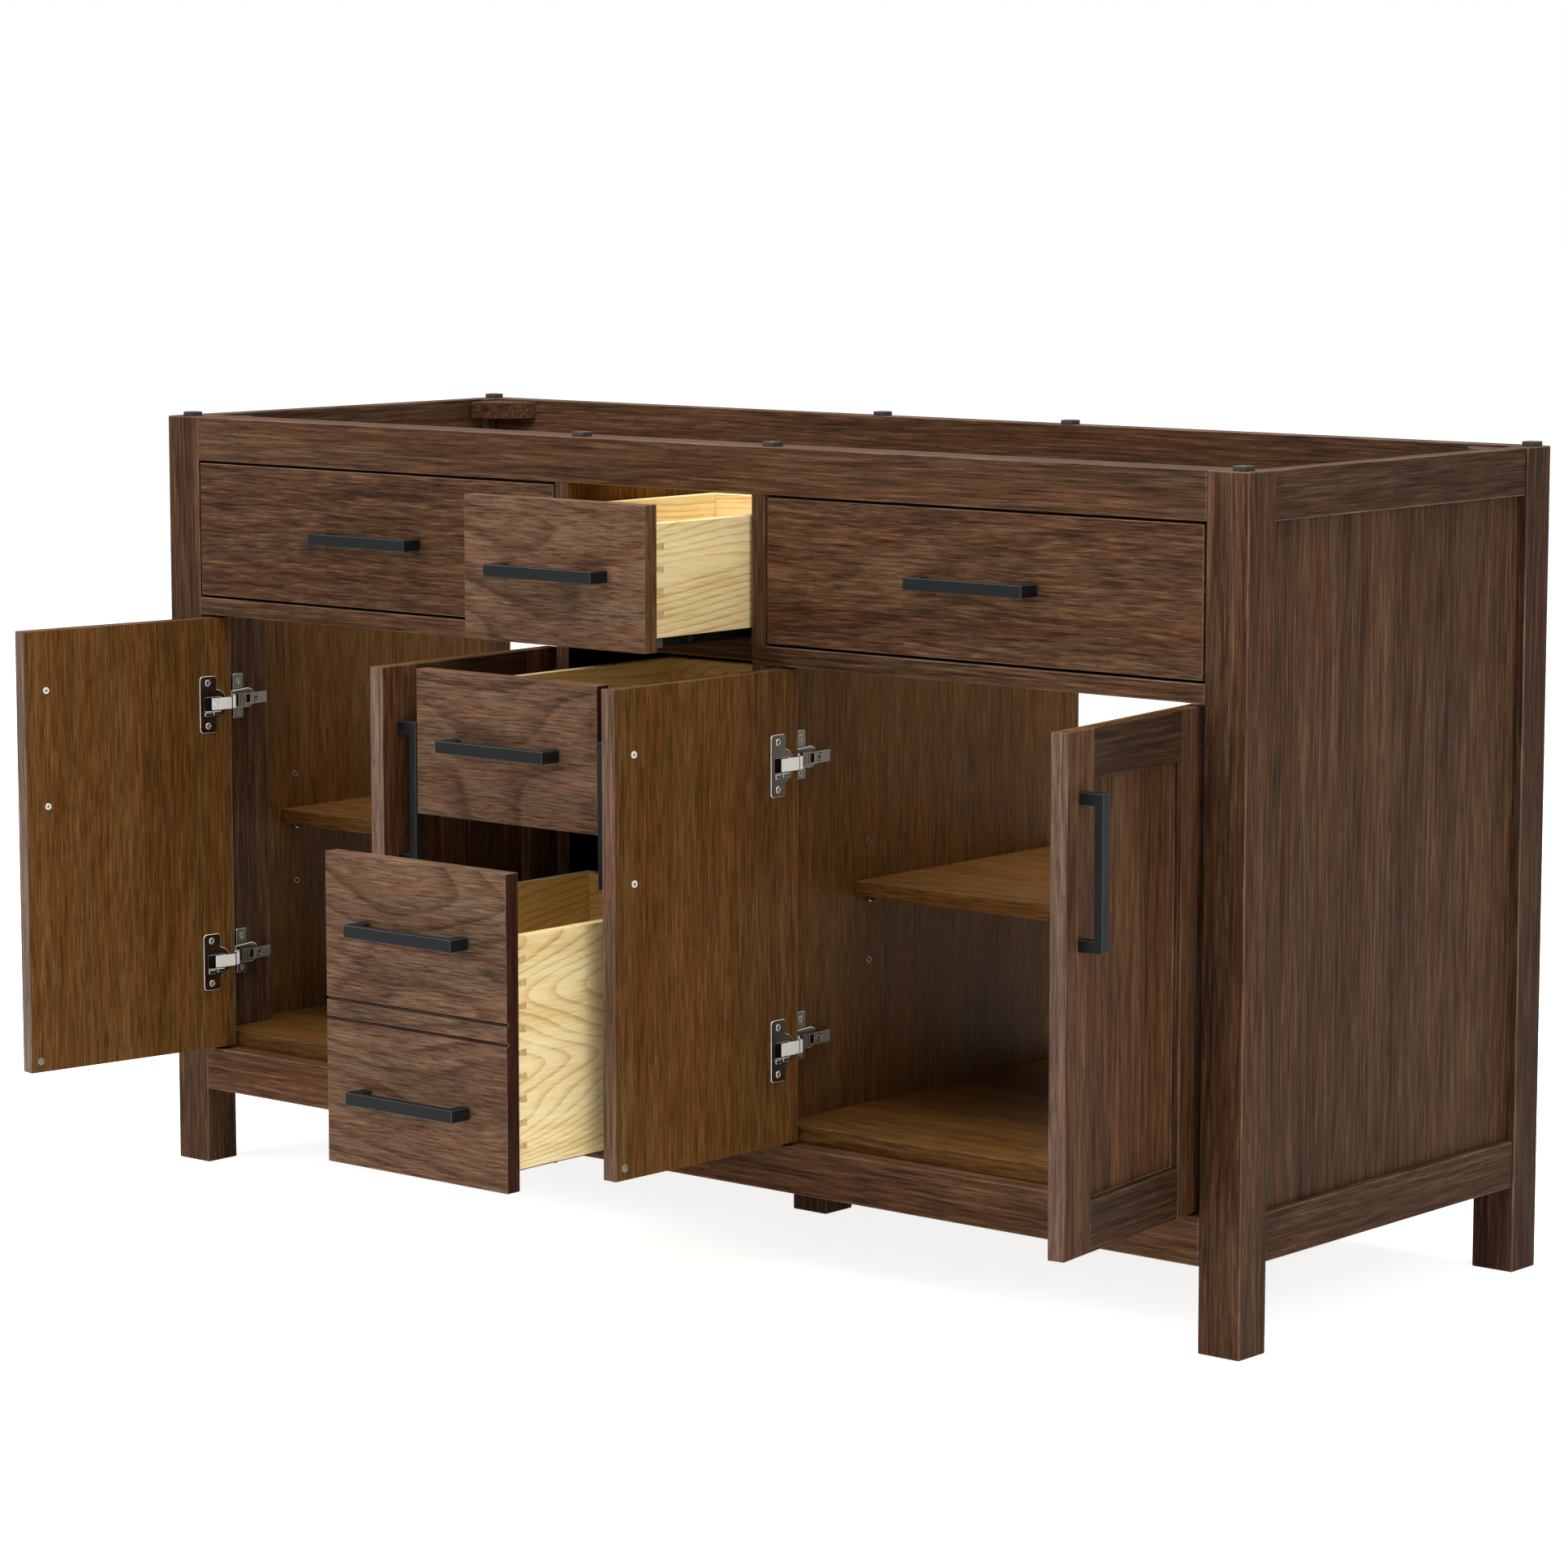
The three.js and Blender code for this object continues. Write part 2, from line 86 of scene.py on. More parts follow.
class Graph:
    """Short ways to add nodes to a tree and to feed its shader."""

    def __init__(self, tree, shader):
        self.tree = tree
        self.shader = tree.nodes[shader]

    def node(self, kind, inputs, **settings):
        made = self.tree.nodes.new("ShaderNode" + kind)
        for key, value in settings.items():
            setattr(made, key, value)
        for socket, value in inputs.items():
            self.feed(made.inputs[socket], value)
        return made

    def feed(self, socket, value):
        if isinstance(value, bpy.types.NodeSocket):
            self.tree.links.new(value, socket)
        else:
            socket.default_value = value

    def position(self):
        """Object coordinates, moved a different way for each piece so that no two boards match."""
        place = self.node("TexCoord", {}).outputs["Object"]
        chance = self.node("ObjectInfo", {}).outputs["Random"]
        inputs = {0: chance, 1: PIECE_STEP, 2: place}
        return self.node("VectorMath", inputs, operation="MULTIPLY_ADD").outputs[0]

    def times(self, a, b):
        return self.node("VectorMath", {0: a, 1: b}, operation="MULTIPLY").outputs[0]

    def stretched(self, place, axis, amount):
        scale = [1.0, 1.0, 1.0]
        scale[axis] = amount
        return self.times(place, tuple(scale))

    def noise(self, place, scale, detail=2.0, rough=0.5, output="Fac"):
        inputs = {"Vector": place, "Scale": scale, "Detail": detail, "Roughness": rough}
        return self.node("TexNoise", inputs).outputs[output]

    def swaying(self, place, axis, amount):
        """Pushes the grain gently from side to side along its length."""
        reach = [amount] * 3
        reach[axis] = 0.0
        drift = self.noise(self.stretched(place, axis, 0.4), 8.0, 1.5, 0.5, "Color")
        inputs = {0: drift, 1: tuple(reach), 2: place}
        return self.node("VectorMath", inputs, operation="MULTIPLY_ADD").outputs[0]

    def calc(self, operation, a, b=0.0):
        return self.node("Math", {0: a, 1: b}, operation=operation).outputs[0]

    def spread(self, value, low, high, new_low=0.0, new_high=1.0):
        inputs = {"Value": value, "From Min": low, "From Max": high, "To Min": new_low,
                  "To Max": new_high}
        return self.node("MapRange", inputs).outputs["Result"]

    def ramp(self, value, stops):
        made = self.node("ValToRGB", {"Fac": value})
        elements = made.color_ramp.elements
        while len(elements) < len(stops):
            elements.new(0.5)
        for element, (place, colour) in zip(elements, stops):
            element.position = place
            element.color = (*colour, 1)
        return made.outputs["Color"]

    def mix(self, factor, a, b):
        inputs = {"Factor": factor, "A": a, "B": b}
        made = self.tree.nodes.new("ShaderNodeMix")
        made.data_type = "RGBA"
        for socket in made.inputs:
            if socket.enabled and socket.name in inputs:
                value = inputs[socket.name]
                self.feed(socket, (*value, 1) if isinstance(value, tuple) else value)
        return next(socket for socket in made.outputs if socket.enabled)

    def bump(self, height, strength, distance):
        inputs = {"Height": height, "Strength": strength, "Distance": distance}
        self.feed(self.shader.inputs["Normal"], self.node("Bump", inputs).outputs["Normal"])

    def finish(self, colour, rough, **fixed):
        self.feed(self.shader.inputs["Base Color"], colour)
        self.feed(self.shader.inputs["Roughness"], rough)
        for socket, value in fixed.items():
            self.shader.inputs[socket.replace("_", " ")].default_value = value


MATERIALS = {}


def once(name, make, *settings):
    """A material is made the first time that it is asked for."""
    if name not in MATERIALS:
        material = bpy.data.materials.new(name)
        material.use_nodes = True
        make(Graph(material.node_tree, "Principled BSDF"), *settings)
        MATERIALS[name] = material
    return MATERIALS[name]


# Each wood has four tones from dark to light, the colour of its pores, and how strongly its pores,
# rings ("ring"), bands, streaks and fibres show. "rings" is how many growth rings there are, and
# "loops" how short they are. "fineness" and "stretch" say how fine and how short the streaks are,
# "sway" how far the grain wanders, "shine" the specular level, and "tint" how far its warm and cool
# patches differ. The column's colour holds painted shade: nearly black up to one height and fully
# lit above another.
WALNUT = {
    "tones": [(0.0254, 0.011, 0.005), (0.0583, 0.0269, 0.0125), (0.0896, 0.0435, 0.0209),
              (0.1458, 0.078, 0.0418)],
    "pore": (0.012, 0.0055, 0.0033), "pores": 0.60, "rings": 7.0, "ring": 0.12, "loops": 0.16,
    "bands": 0.36, "streaks": 0.80, "fibres": 0.75, "fineness": 240.0, "sway": 0.010,
    "stretch": 0.033, "rough": (0.44, 0.60), "bump": 0.30, "shine": 0.06, "tint": 1.0,
}
FIGURED = {
    **WALNUT, "rings": 5.0, "ring": 0.55, "loops": 0.22, "sway": 0.014, "stretch": 0.06,
    "streaks": 0.90, "fineness": 300.0,
}
INSIDE = {
    "tones": [(0.053, 0.0211, 0.0044), (0.0975, 0.041, 0.009), (0.1336, 0.0594, 0.0146),
              (0.1887, 0.0929, 0.0293)],
    "pore": (0.026, 0.011, 0.0035), "pores": 0.55, "rings": 3.0, "ring": 0.0, "loops": 0.16,
    "bands": 0.35, "streaks": 0.5, "fibres": 0.95, "fineness": 230.0, "sway": 0.004,
    "stretch": 0.045, "rough": (0.42, 0.58), "bump": 0.25, "shine": 0.07, "tint": 1.0,
}
PINE = {
    "tones": [(0.5616, 0.3434, 0.1118), (0.7696, 0.5656, 0.2494), (0.8944, 0.7272, 0.387),
              (0.95, 0.8282, 0.4988)],
    "pore": (0.50, 0.33, 0.14), "pores": 0.10, "rings": 26.0, "ring": 1.0, "loops": 0.13,
    "bands": 0.35, "streaks": 0.3, "fibres": 0.35, "fineness": 120.0, "sway": 0.02,
    "stretch": 0.06, "rough": (0.45, 0.58), "bump": 0.10, "shine": 0.3, "tint": 0.3,
}


def stained(wood_kind, *tones, **changes):
    return {**wood_kind, "tones": tones, **changes}


WOODS = {
    "walnut": WALNUT,
    # Lighter eased edges: partly wear, partly a painted highlight where the edges catch the light.
    "walnut_edge_wear_and_highlight": stained(
        WALNUT, (0.058, 0.029, 0.017), (0.098, 0.054, 0.033), (0.145, 0.086, 0.056),
        (0.21, 0.135, 0.092), rough=(0.38, 0.50), shine=0.2),
    "walnut_end": stained(
        WALNUT, (0.012, 0.0040, 0.0020), (0.022, 0.0075, 0.0038), (0.034, 0.0125, 0.0065),
        (0.056, 0.0240, 0.0130)),
    "walnut_warm": stained(
        WALNUT, (0.030, 0.0118, 0.0050), (0.068, 0.0290, 0.0122), (0.104, 0.0470, 0.0205),
        (0.162, 0.0820, 0.0400)),
    "walnut_dark": stained(
        WALNUT, (0.019, 0.0082, 0.0040), (0.043, 0.0200, 0.0102), (0.066, 0.0325, 0.0170),
        (0.108, 0.0590, 0.0335)),
    "walnut_door_rail": stained(
        WALNUT, (0.015, 0.0060, 0.0026), (0.033, 0.0145, 0.0066), (0.052, 0.0240, 0.0112),
        (0.086, 0.0450, 0.0240)),
    "walnut_figured": FIGURED,
    "walnut_drawer_front": stained(
        FIGURED, (0.047, 0.0228, 0.0121), (0.0941, 0.049, 0.0274), (0.1434, 0.0798, 0.0465),
        (0.215, 0.1288, 0.0795), rings=7.0, ring=0.85, loops=0.34, fineness=420.0, bands=0.20,
        streaks=0.62, fibres=0.62),
    "inside": INSIDE,
    # Lighter eased edges: partly wear, partly a painted highlight where the edges catch the light.
    "inside_edge_wear_and_highlight": stained(
        INSIDE, (0.060, 0.030, 0.012), (0.096, 0.050, 0.021), (0.14, 0.078, 0.034),
        (0.20, 0.12, 0.058)),
    # Painted shade: the column side is nearly black below one height and lit above another.
    "column": {**INSIDE, "painted_shade_below": 0.69, "painted_light_above": 0.76, "shine": 0.0},
    "pine": PINE,
    "pine_end": stained(
        PINE, (0.38, 0.22, 0.08), (0.52, 0.35, 0.15), (0.63, 0.45, 0.22), (0.72, 0.55, 0.30),
        fibres=0.9),
}
TONE_STOPS = (0.08, 0.38, 0.64, 0.95)
RING_STOPS = [(0.0, (0.0,) * 3), (0.55, (0.10,) * 3), (0.90, (1.0,) * 3), (1.0, (0.0,) * 3)]
# How dark the column's painted shade gets.
COLUMN_PAINTED_SHADE = 0.02
COOL, WARM = (0.93, 1.02, 1.03), (1.08, 0.97, 0.93)
BAND_SCALE, FIBRE_SCALE, PORE_SCALE, RING_SCALE, TINT_SCALE = 24.0, 560.0, 980.0, 6.5, 55.0
CONTRAST = 1.9
RING_DEPTH, RING_LIFT = 0.35, 0.10  # how dark a ring is, and what makes up for it between rings


def wood_nodes(g, kind, grain):
    """Stain bands, streaks, fibres, pores and growth rings, all drawn out along the grain."""
    place = g.swaying(g.position(), grain, kind["sway"])
    length = kind["stretch"]
    bands = g.noise(g.stretched(place, grain, 0.05), BAND_SCALE, 2.0)
    streaks = g.noise(g.stretched(place, grain, length), kind["fineness"], 3.0, 0.62)
    fibres = g.noise(g.stretched(place, grain, length), FIBRE_SCALE, 2.5, 0.6)
    pores = g.noise(g.stretched(place, grain, 0.05), PORE_SCALE, 1.5)
    pores = g.spread(pores, 0.57, 0.68)
    field = g.noise(g.stretched(place, grain, kind["loops"]), RING_SCALE, 1.2, 0.4)
    rings = g.calc("ADD", g.calc("MULTIPLY", field, kind["rings"] * 2.0),
                   g.calc("MULTIPLY", fibres, 0.05))
    ring = g.ramp(g.calc("FRACT", rings), RING_STOPS)
    tone = 0.5
    for layer, share in ((bands, "bands"), (streaks, "streaks"), (fibres, "fibres")):
        tone = g.calc("ADD", tone, g.calc("MULTIPLY", g.calc("SUBTRACT", layer, 0.5),
                                          CONTRAST * kind[share]))
    tone = g.calc("SUBTRACT", tone, g.calc("MULTIPLY", ring, RING_DEPTH * kind["ring"]))
    tone = g.calc("ADD", tone, RING_LIFT * kind["ring"])
    colour = g.ramp(tone, list(zip(TONE_STOPS, kind["tones"])))
    tint = kind["tint"] / 2
    warm = g.noise(g.stretched(place, grain, 0.04), TINT_SCALE, 2.0)
    warm = g.spread(warm, 0.35, 0.65, 0.5 - tint, 0.5 + tint)
    colour = g.times(colour, g.mix(warm, COOL, WARM))
    colour = g.mix(g.calc("MULTIPLY", pores, kind["pores"]), colour, kind["pore"])
    # Painted shade: the column side goes nearly black up to one height and is fully lit above
    # another.
    if "painted_shade_below" in kind:
        up = g.node("SeparateXYZ", {0: g.node("TexCoord", {}).outputs["Object"]}).outputs[Z]
        lit = g.spread(up, kind["painted_shade_below"], kind["painted_light_above"], COLUMN_PAINTED_SHADE, 1.0)
        colour = g.mix(lit, (0.0, 0.0, 0.0), colour)
    height = g.calc("SUBTRACT", g.calc("MULTIPLY", fibres, 0.5), g.calc("MULTIPLY", pores, 0.7))
    g.bump(height, kind["bump"], 0.3 * MM)
    rough = g.spread(fibres, 0.3, 0.7, *kind["rough"])
    g.finish(colour, rough, Specular_IOR_Level=kind["shine"])


def wood(name, grain):
    return once(f"{name}_{'xyz'[grain]}", wood_nodes, WOODS[name], grain)


def walnut(grain, name="walnut"):
    # The second material, for eased edges, is lighter: partly wear, partly a painted highlight.
    return [wood(name, grain), wood("walnut_edge_wear_and_highlight", grain)]


def inside(grain):
    # The second material, for eased edges, is lighter: partly wear, partly a painted highlight.
    return [wood("inside", grain), wood("inside_edge_wear_and_highlight", grain)]


def pine(grain):
    return [wood("pine", grain), wood("pine_end", grain)]


# Metal, paint and plastic: the darkest and lightest colour, the least and greatest roughness, how
# metallic it is, how fine and how strong its grain is, and the shader's other inputs.
PLAIN = {
    "black_handle": ((0.0055, 0.0062, 0.0065), (0.0098, 0.0110, 0.0115), (0.42, 0.56), 0.0,
                     1400.0, 0.25, {"Specular_IOR_Level": 0.15}),
    # Lighter eased edges on the black handles: a painted highlight.
    "black_handle_edge_highlight": ((0.022, 0.025, 0.027), (0.042, 0.046, 0.049), (0.36, 0.46), 0.0,
                          1400.0, 0.2, {"Specular_IOR_Level": 0.3}),
    "nickel": ((0.125, 0.106, 0.082), (0.23, 0.204, 0.162), (0.20, 0.34), 1.0, 900.0, 0.05, {}),
    # Near-white and barely metallic: a painted highlight and reflection on the nickel.
    "nickel_painted_highlight": ((0.90, 0.88, 0.81), (0.96, 0.945, 0.88), (0.26, 0.36), 0.2, 900.0, 0.05, {}),
    "slide_steel": ((0.016, 0.017, 0.019), (0.040, 0.042, 0.046), (0.25, 0.42), 0.75, 900.0, 0.05,
                    {}),
    # Lighter steel for eased edges and rollers: a painted highlight.
    "slide_steel_edge_highlight": ((0.10, 0.10, 0.11), (0.18, 0.18, 0.19), (0.25, 0.4), 0.9, 900.0, 0.05, {}),
    # Near black: painted shade inside holes, recesses and the hinge's hollows.
    "hole_painted_shade": ((0.006, 0.004, 0.003), (0.012, 0.009, 0.007), (0.7, 0.9), 0.0, 900.0, 0.05, {}),
    "pad_rubber": ((0.020, 0.017, 0.018), (0.040, 0.034, 0.035), (0.5, 0.7), 0.0, 700.0, 0.3, {}),
    "grey_plastic": ((0.13, 0.135, 0.14), (0.19, 0.195, 0.20), (0.4, 0.55), 0.0, 600.0, 0.1, {}),
    "clear_plastic": ((0.55, 0.50, 0.44), (0.70, 0.65, 0.58), (0.12, 0.22), 0.0, 400.0, 0.02,
                      {"Transmission_Weight": 0.75, "IOR": 1.45}),
}


def plain_nodes(g, dark, light, rough, metallic, grain_size, bump, others):
    """Slightly uneven colour, sheen and surface."""
    place = g.position()
    fine = g.noise(place, grain_size, 3.0, 0.6)
    wide = g.noise(place, 25.0, 2.0)
    colour = g.ramp(g.calc("ADD", g.calc("MULTIPLY", fine, 0.5), g.calc("MULTIPLY", wide, 0.5)),
                    [(0.3, dark), (0.7, light)])
    g.bump(fine, bump, 0.1 * MM)
    g.finish(colour, g.spread(wide, 0.3, 0.7, *rough), Metallic=metallic, **others)


def plain(*names):
    return [once(name, plain_nodes, *PLAIN[name]) for name in names]


# ---- Mesh helpers --------------------------------------------------------------------


def mm(lengths):
    """Lengths in metres, or vectors of them, in millimetres."""
    return [length / MM for length in lengths]


def shift(x, y, z):
    return Matrix.Translation((x, y, z))


def turned(degrees, axis):
    return Matrix.Rotation(math.radians(degrees), 4, axis)


def mirrored(side):
    """Leaves a piece for the right as it is drawn, and mirrors one for the left."""
    return Matrix.Scale(side, 4, (1, 0, 0))


def to_mesh(bm, name):
    bmesh.ops.recalc_face_normals(bm, faces=bm.faces)
    mesh = bpy.data.meshes.new(name)
    bm.to_mesh(mesh)
    bm.free()
    return mesh


def prism(outline, low, high, turn=ALONG_Z):
    """An outline pushed from low to high."""
    bm = bmesh.new()
    near = [bm.verts.new((x, y, low)) for x, y in outline]
    far = [bm.verts.new((x, y, high)) for x, y in outline]
    bm.faces.new(near)
    bm.faces.new(far)
    for i in range(len(outline)):
        j = (i + 1) % len(outline)
        bm.faces.new((near[i], near[j], far[j], far[i]))
    bmesh.ops.transform(bm, matrix=turn, verts=bm.verts)
    return to_mesh(bm, "prism")


def rectangle(low, high):
    (x0, y0), (x1, y1) = low, high
    return [(x0, y0), (x1, y0), (x1, y1), (x0, y1)]


def block(low, high):
    """A box between two corners, in any order."""
    (x0, x1), (y0, y1), (z0, z1) = (sorted(pair) for pair in zip(low, high))
    return prism(rectangle((x0, y0), (x1, y1)), z0, z1)


def lathe(profile, steps=32):
    """A profile of (radius, height) points turned round the Z axis."""
    bm = bmesh.new()
    rings = []
    for radius, height in profile:
        if radius < 1e-6:
            rings.append([bm.verts.new((0, 0, height))])
            continue
        angles = [2 * math.pi * i / steps for i in range(steps)]
        rings.append([bm.verts.new((radius * math.cos(a), radius * math.sin(a), height))
                      for a in angles])
    for lower, upper in zip(rings, rings[1:]):
        for i in range(steps):
            j = (i + 1) % steps
            corners = [lower[i % len(lower)], lower[j % len(lower)],
                       upper[j % len(upper)], upper[i % len(upper)]]
            bm.faces.new(list(dict.fromkeys(corners)))
    return to_mesh(bm, "lathe")


def plate(outlines, thickness, turn=ALONG_Z, chamfer=0.25):
    """A flat plate from an outer outline and any holes in it, with chamfered edges."""
    curve = bpy.data.curves.new("plate", "CURVE")
    curve.dimensions = "2D"
    curve.fill_mode = "BOTH"
    curve.extrude = thickness / 2 - chamfer
    curve.bevel_depth = chamfer
    curve.bevel_resolution = 0
    curve.offset = -chamfer
    for outline in outlines:
        spline = curve.splines.new("POLY")
        spline.points.add(len(outline) - 1)
        for point, (x, y) in zip(spline.points, outline):
            point.co = (x, y, 0, 1)
        spline.use_cyclic_u = True
    holder = bpy.data.objects.new("plate", curve)
    bpy.context.scene.collection.objects.link(holder)
    graph = bpy.context.evaluated_depsgraph_get()
    drawn = bpy.data.meshes.new_from_object(holder.evaluated_get(graph))
    bpy.data.objects.remove(holder)
    bpy.data.curves.remove(curve)
    bm = bmesh.new()
    bm.from_mesh(drawn)
    bpy.data.meshes.remove(drawn)
    bmesh.ops.remove_doubles(bm, verts=bm.verts, dist=0.001)
    bmesh.ops.transform(bm, matrix=turn, verts=bm.verts)
    return to_mesh(bm, "plate")


def joined(parts, turn=ALONG_Z):
    """One mesh from (mesh, matrix, material index) parts. None keeps a part's own indices."""
    bm = bmesh.new()
    for mesh, matrix, index in parts:
        start = len(bm.faces)
        copy = mesh.copy()
        copy.transform(matrix)
        bm.from_mesh(copy)
        bpy.data.meshes.remove(copy)
        bm.faces.ensure_lookup_table()
        if index is not None:
            for face in bm.faces[start:]:
                face.material_index = index
    bmesh.ops.transform(bm, matrix=turn, verts=bm.verts)
    return to_mesh(bm, "joined")


def circle(centre, radius, steps=24):
    angles = [2 * math.pi * i / steps for i in range(steps)]
    return [(centre[0] + radius * math.cos(a), centre[1] + radius * math.sin(a)) for a in angles]


def arc(centre, radius, start, end, steps=5):
    """Points from one angle to another, in degrees."""
    angles = [math.radians(start + (end - start) * i / steps) for i in range(steps + 1)]
    return [(centre[0] + radius * math.cos(a), centre[1] + radius * math.sin(a)) for a in angles]


def rounded(low, high, radius):
    """A rectangle with rounded corners."""
    (x0, y0), (x1, y1) = low, high
    corners = [(x1 - radius, y1 - radius, 0), (x0 + radius, y1 - radius, 90),
               (x0 + radius, y0 + radius, 180), (x1 - radius, y0 + radius, 270)]
    points = []
    for x, y, start in corners:
        points += arc((x, y), radius, start, start + 90)
    return points


def cross(arm, half):
    """A plus sign, for the recess of a screw head."""
    quarter = [(arm, -half), (arm, half), (half, half)]
    points = []
    for turn in range(4):
        c, s = round(math.cos(turn * math.pi / 2)), round(math.sin(turn * math.pi / 2))
        points += [(x * c - y * s, x * s + y * c) for x, y in quarter]
    return points


SHARP = math.radians(35)  # faces that meet at more than this have a sharp edge


def smooth(mesh):
    mesh.polygons.foreach_set("use_smooth", [True] * len(mesh.polygons))
    mesh.set_sharp_from_angle(angle=SHARP)


def paint(mesh, index, direction):
    """Gives another material to the faces that look one way."""
    for face in mesh.polygons:
        if face.normal.dot(Vector(direction)) > 0.9:
            face.material_index = index


def add(name, mesh, materials, body, matrix=ALONG_Z, replaces=()):
    piece = bpy.data.objects.new(name, mesh)
    mesh.name = name
    for material in materials:
        mesh.materials.append(material)
    mesh.transform(Matrix.Scale(MM, 4))
    smooth(mesh)
    bpy.context.scene.collection.objects.link(piece)
    piece.matrix_world = matrix
    piece.location *= MM
    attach(piece, body)
    if replaces:
        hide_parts(*replaces)
    return piece


def ease(piece, width, edge=1, segments=2):
    """Rounds the arrises. Their material is the piece's numbered one, or with -1 its faces' own."""
    bevel = piece.modifiers.new("eased edges", "BEVEL")
    bevel.width = width * MM
    bevel.segments = segments
    bevel.limit_method = "ANGLE"
    bevel.angle_limit = SHARP
    bevel.harden_normals = True
    bevel.material = edge


def dress(node, materials, width):
    """A CAD node that keeps its shape gets its material and eased edges."""
    piece = frame["nodes"][node]
    piece.data.materials.clear()
    for material in materials:
        piece.data.materials.append(material)
    weld = piece.modifiers.new("weld", "WELD")
    weld.merge_threshold = 1e-5
    flat = piece.modifiers.new("flat faces", "DECIMATE")
    flat.decimate_type = "DISSOLVE"
    flat.angle_limit = math.radians(1)
    ease(piece, width)


def screw(radius, height=1.0):
    """A cross-recess screw head that looks along +Z from z = 0."""
    head = plate([circle((0, 0), radius), cross(0.62 * radius, 0.17 * radius)], height)
    # The recess floor takes the second material: painted shade.
    floor = lathe([(0, 0.15), (0.7 * radius, 0.15)])
    rim = lathe([(radius, 0), (radius * 1.02, height * 0.4), (radius * 0.8, height)])
    lift = shift(0, 0, height / 2)
    return joined([(head, lift, 0), (floor, ALONG_Z, 1), (rim, ALONG_Z, 0)])


# ---- Carcass -------------------------------------------------------------------------

GRAIN_OF_WALNUT = {
    Z: ["leg_front_left", "leg_front_right", "leg_back_left", "leg_centre"],
    X: ["rail_bottom_back", "rail_middle_left", "rail_middle_right", "rail_drawers_upper",
        "rail_drawers_lower"],
    Y: ["rail_bottom_left", "rail_bottom_right"],
}
HANDLES = [n for n in frame["nodes"] if n.startswith("handle_")]
SIDES = [("left", -1), ("right", 1)]


def dress_carcass():
    for grain, nodes in GRAIN_OF_WALNUT.items():
        for node in nodes:
            dress(node, walnut(grain), 1.4)
    dress("rail_bottom_front", walnut(X, "walnut_warm"), 1.4)
    dress("leg_back_right", walnut(Z, "walnut_dark"), 1.4)
    for node in ("panel_floor", "shelf_left", "shelf_right"):
        dress(node, inside(X), 0.8)


def side_panels():
    for word, side in SIDES:
        node = f"panel_side_{word}"
        mesh = block(*mm(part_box(node)))
        paint(mesh, 1, (-side, 0, 0))
        materials = [wood("walnut", Z), wood("inside", Z)]
        add(f"{node}_board", mesh, materials, "carcass", replaces=[node])


def partitions():
    """Notched for the floor and the rail, painted shade inside the column, walnut front edges."""
    floor_low, floor_high = mm(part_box("panel_floor"))
    gap = 0.2
    for word, side in SIDES:
        node = f"partition_{word}"
        low, high = mm(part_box(node))
        rail_low, rail_high = mm(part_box(f"rail_middle_{word}"))
        floor_y, floor_z = floor_low.y - gap, floor_high.z + gap
        notch_y = rail_high.y + gap
        outline = [(low.y, low.z), (floor_y, low.z), (floor_y, floor_z), (high.y, floor_z),
                   (high.y, high.z), (low.y, high.z), (low.y, rail_high.z + gap),
                   (notch_y, rail_high.z + gap), (notch_y, rail_low.z - gap),
                   (low.y, rail_low.z - gap)]
        mesh = prism(outline, low.x, high.x, ALONG_X)
        # The column side takes the column wood, whose colour holds painted shade.
        paint(mesh, 1, (-side, 0, 0))
        paint(mesh, 2, (0, -1, 0))
        materials = [wood("inside", Z), wood("column", Z), wood("walnut", Z)]
        add(f"{node}_board", mesh, materials, "carcass", replaces=[node])


def top_rails():
    """The rails round the open top. The right one is darker."""
    for word, grain in (("front", X), ("back", X), ("left", Y), ("right", Y)):
        node = f"rail_top_{word}"
        mesh = block(*mm(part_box(node)))
        materials = walnut(grain, "walnut_dark") if word == "right" else walnut(grain)
        ease(add(f"{node}_board", mesh, materials, "carcass", replaces=[node]),
             1.2)


CORNER_BLOCK = {"along_x": 64, "along_y": 48, "drop": 3, "thick": 20, "bow": 9}


def corner_blocks():
    """A block with a bowed front edge in each top corner, screwed to the rails."""
    size = CORNER_BLOCK
    front_y = mm(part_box("rail_top_front"))[1].y + 0.4
    back_y = mm(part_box("rail_top_back"))[0].y - 0.4
    top = mm(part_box("rail_top_front"))[1].z - size["drop"]
    for word, side in SIDES:
        rail_low, rail_high = mm(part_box(f"rail_top_{word}"))
        face = rail_low.x if side > 0 else rail_high.x
        for end, y, into in (("front", front_y, 1), ("back", back_y, -1)):
            corner = Vector((face - side * 3.6, y))
            bow = []
            for t in (i / 8 for i in range(9)):
                swell = size["bow"] * math.sin(math.pi * t)
                bow.append((corner.x - side * ((1 - t) * size["along_x"] + swell * 0.6),
                            corner.y + into * (t * size["along_y"] + swell)))
            hole = circle((corner.x - side * 20, corner.y + into * 17), 4)
            turn = shift(0, 0, top - size["thick"] / 2)
            mesh = plate([[tuple(corner), *bow], hole], size["thick"], turn, 0.8)
            add(f"corner_block_{end}_{word}", mesh, walnut(X), "carcass")


# Where the small pads lie on the top edges.
FRONT_PADS = [(-737, -258), (-123, -259), (147, -259), (744, -258)]
BACK_PADS = [(-750, 261), (-129, 262), (143, 262), (749, 258)]


def top_pads():
    top = mm(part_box("rail_top_front"))[1].z
    for row, pads in (("front", FRONT_PADS), ("back", BACK_PADS)):
        for i, (x, y) in enumerate(pads):
            half, thick = 8, 4.8
            outline = rounded((-half, -half), (half, half), 1.2)
            turn = shift(x, y, top + thick / 2)
            mesh = plate([outline], thick, turn, 0.6)
            add(f"top_pad_{row}_{i + 1}", mesh, plain("pad_rubber"), "carcass")


SHELF_PIN_ROWS = [-101, 228]
SPARE_PIN_HEIGHTS = [313, 442]


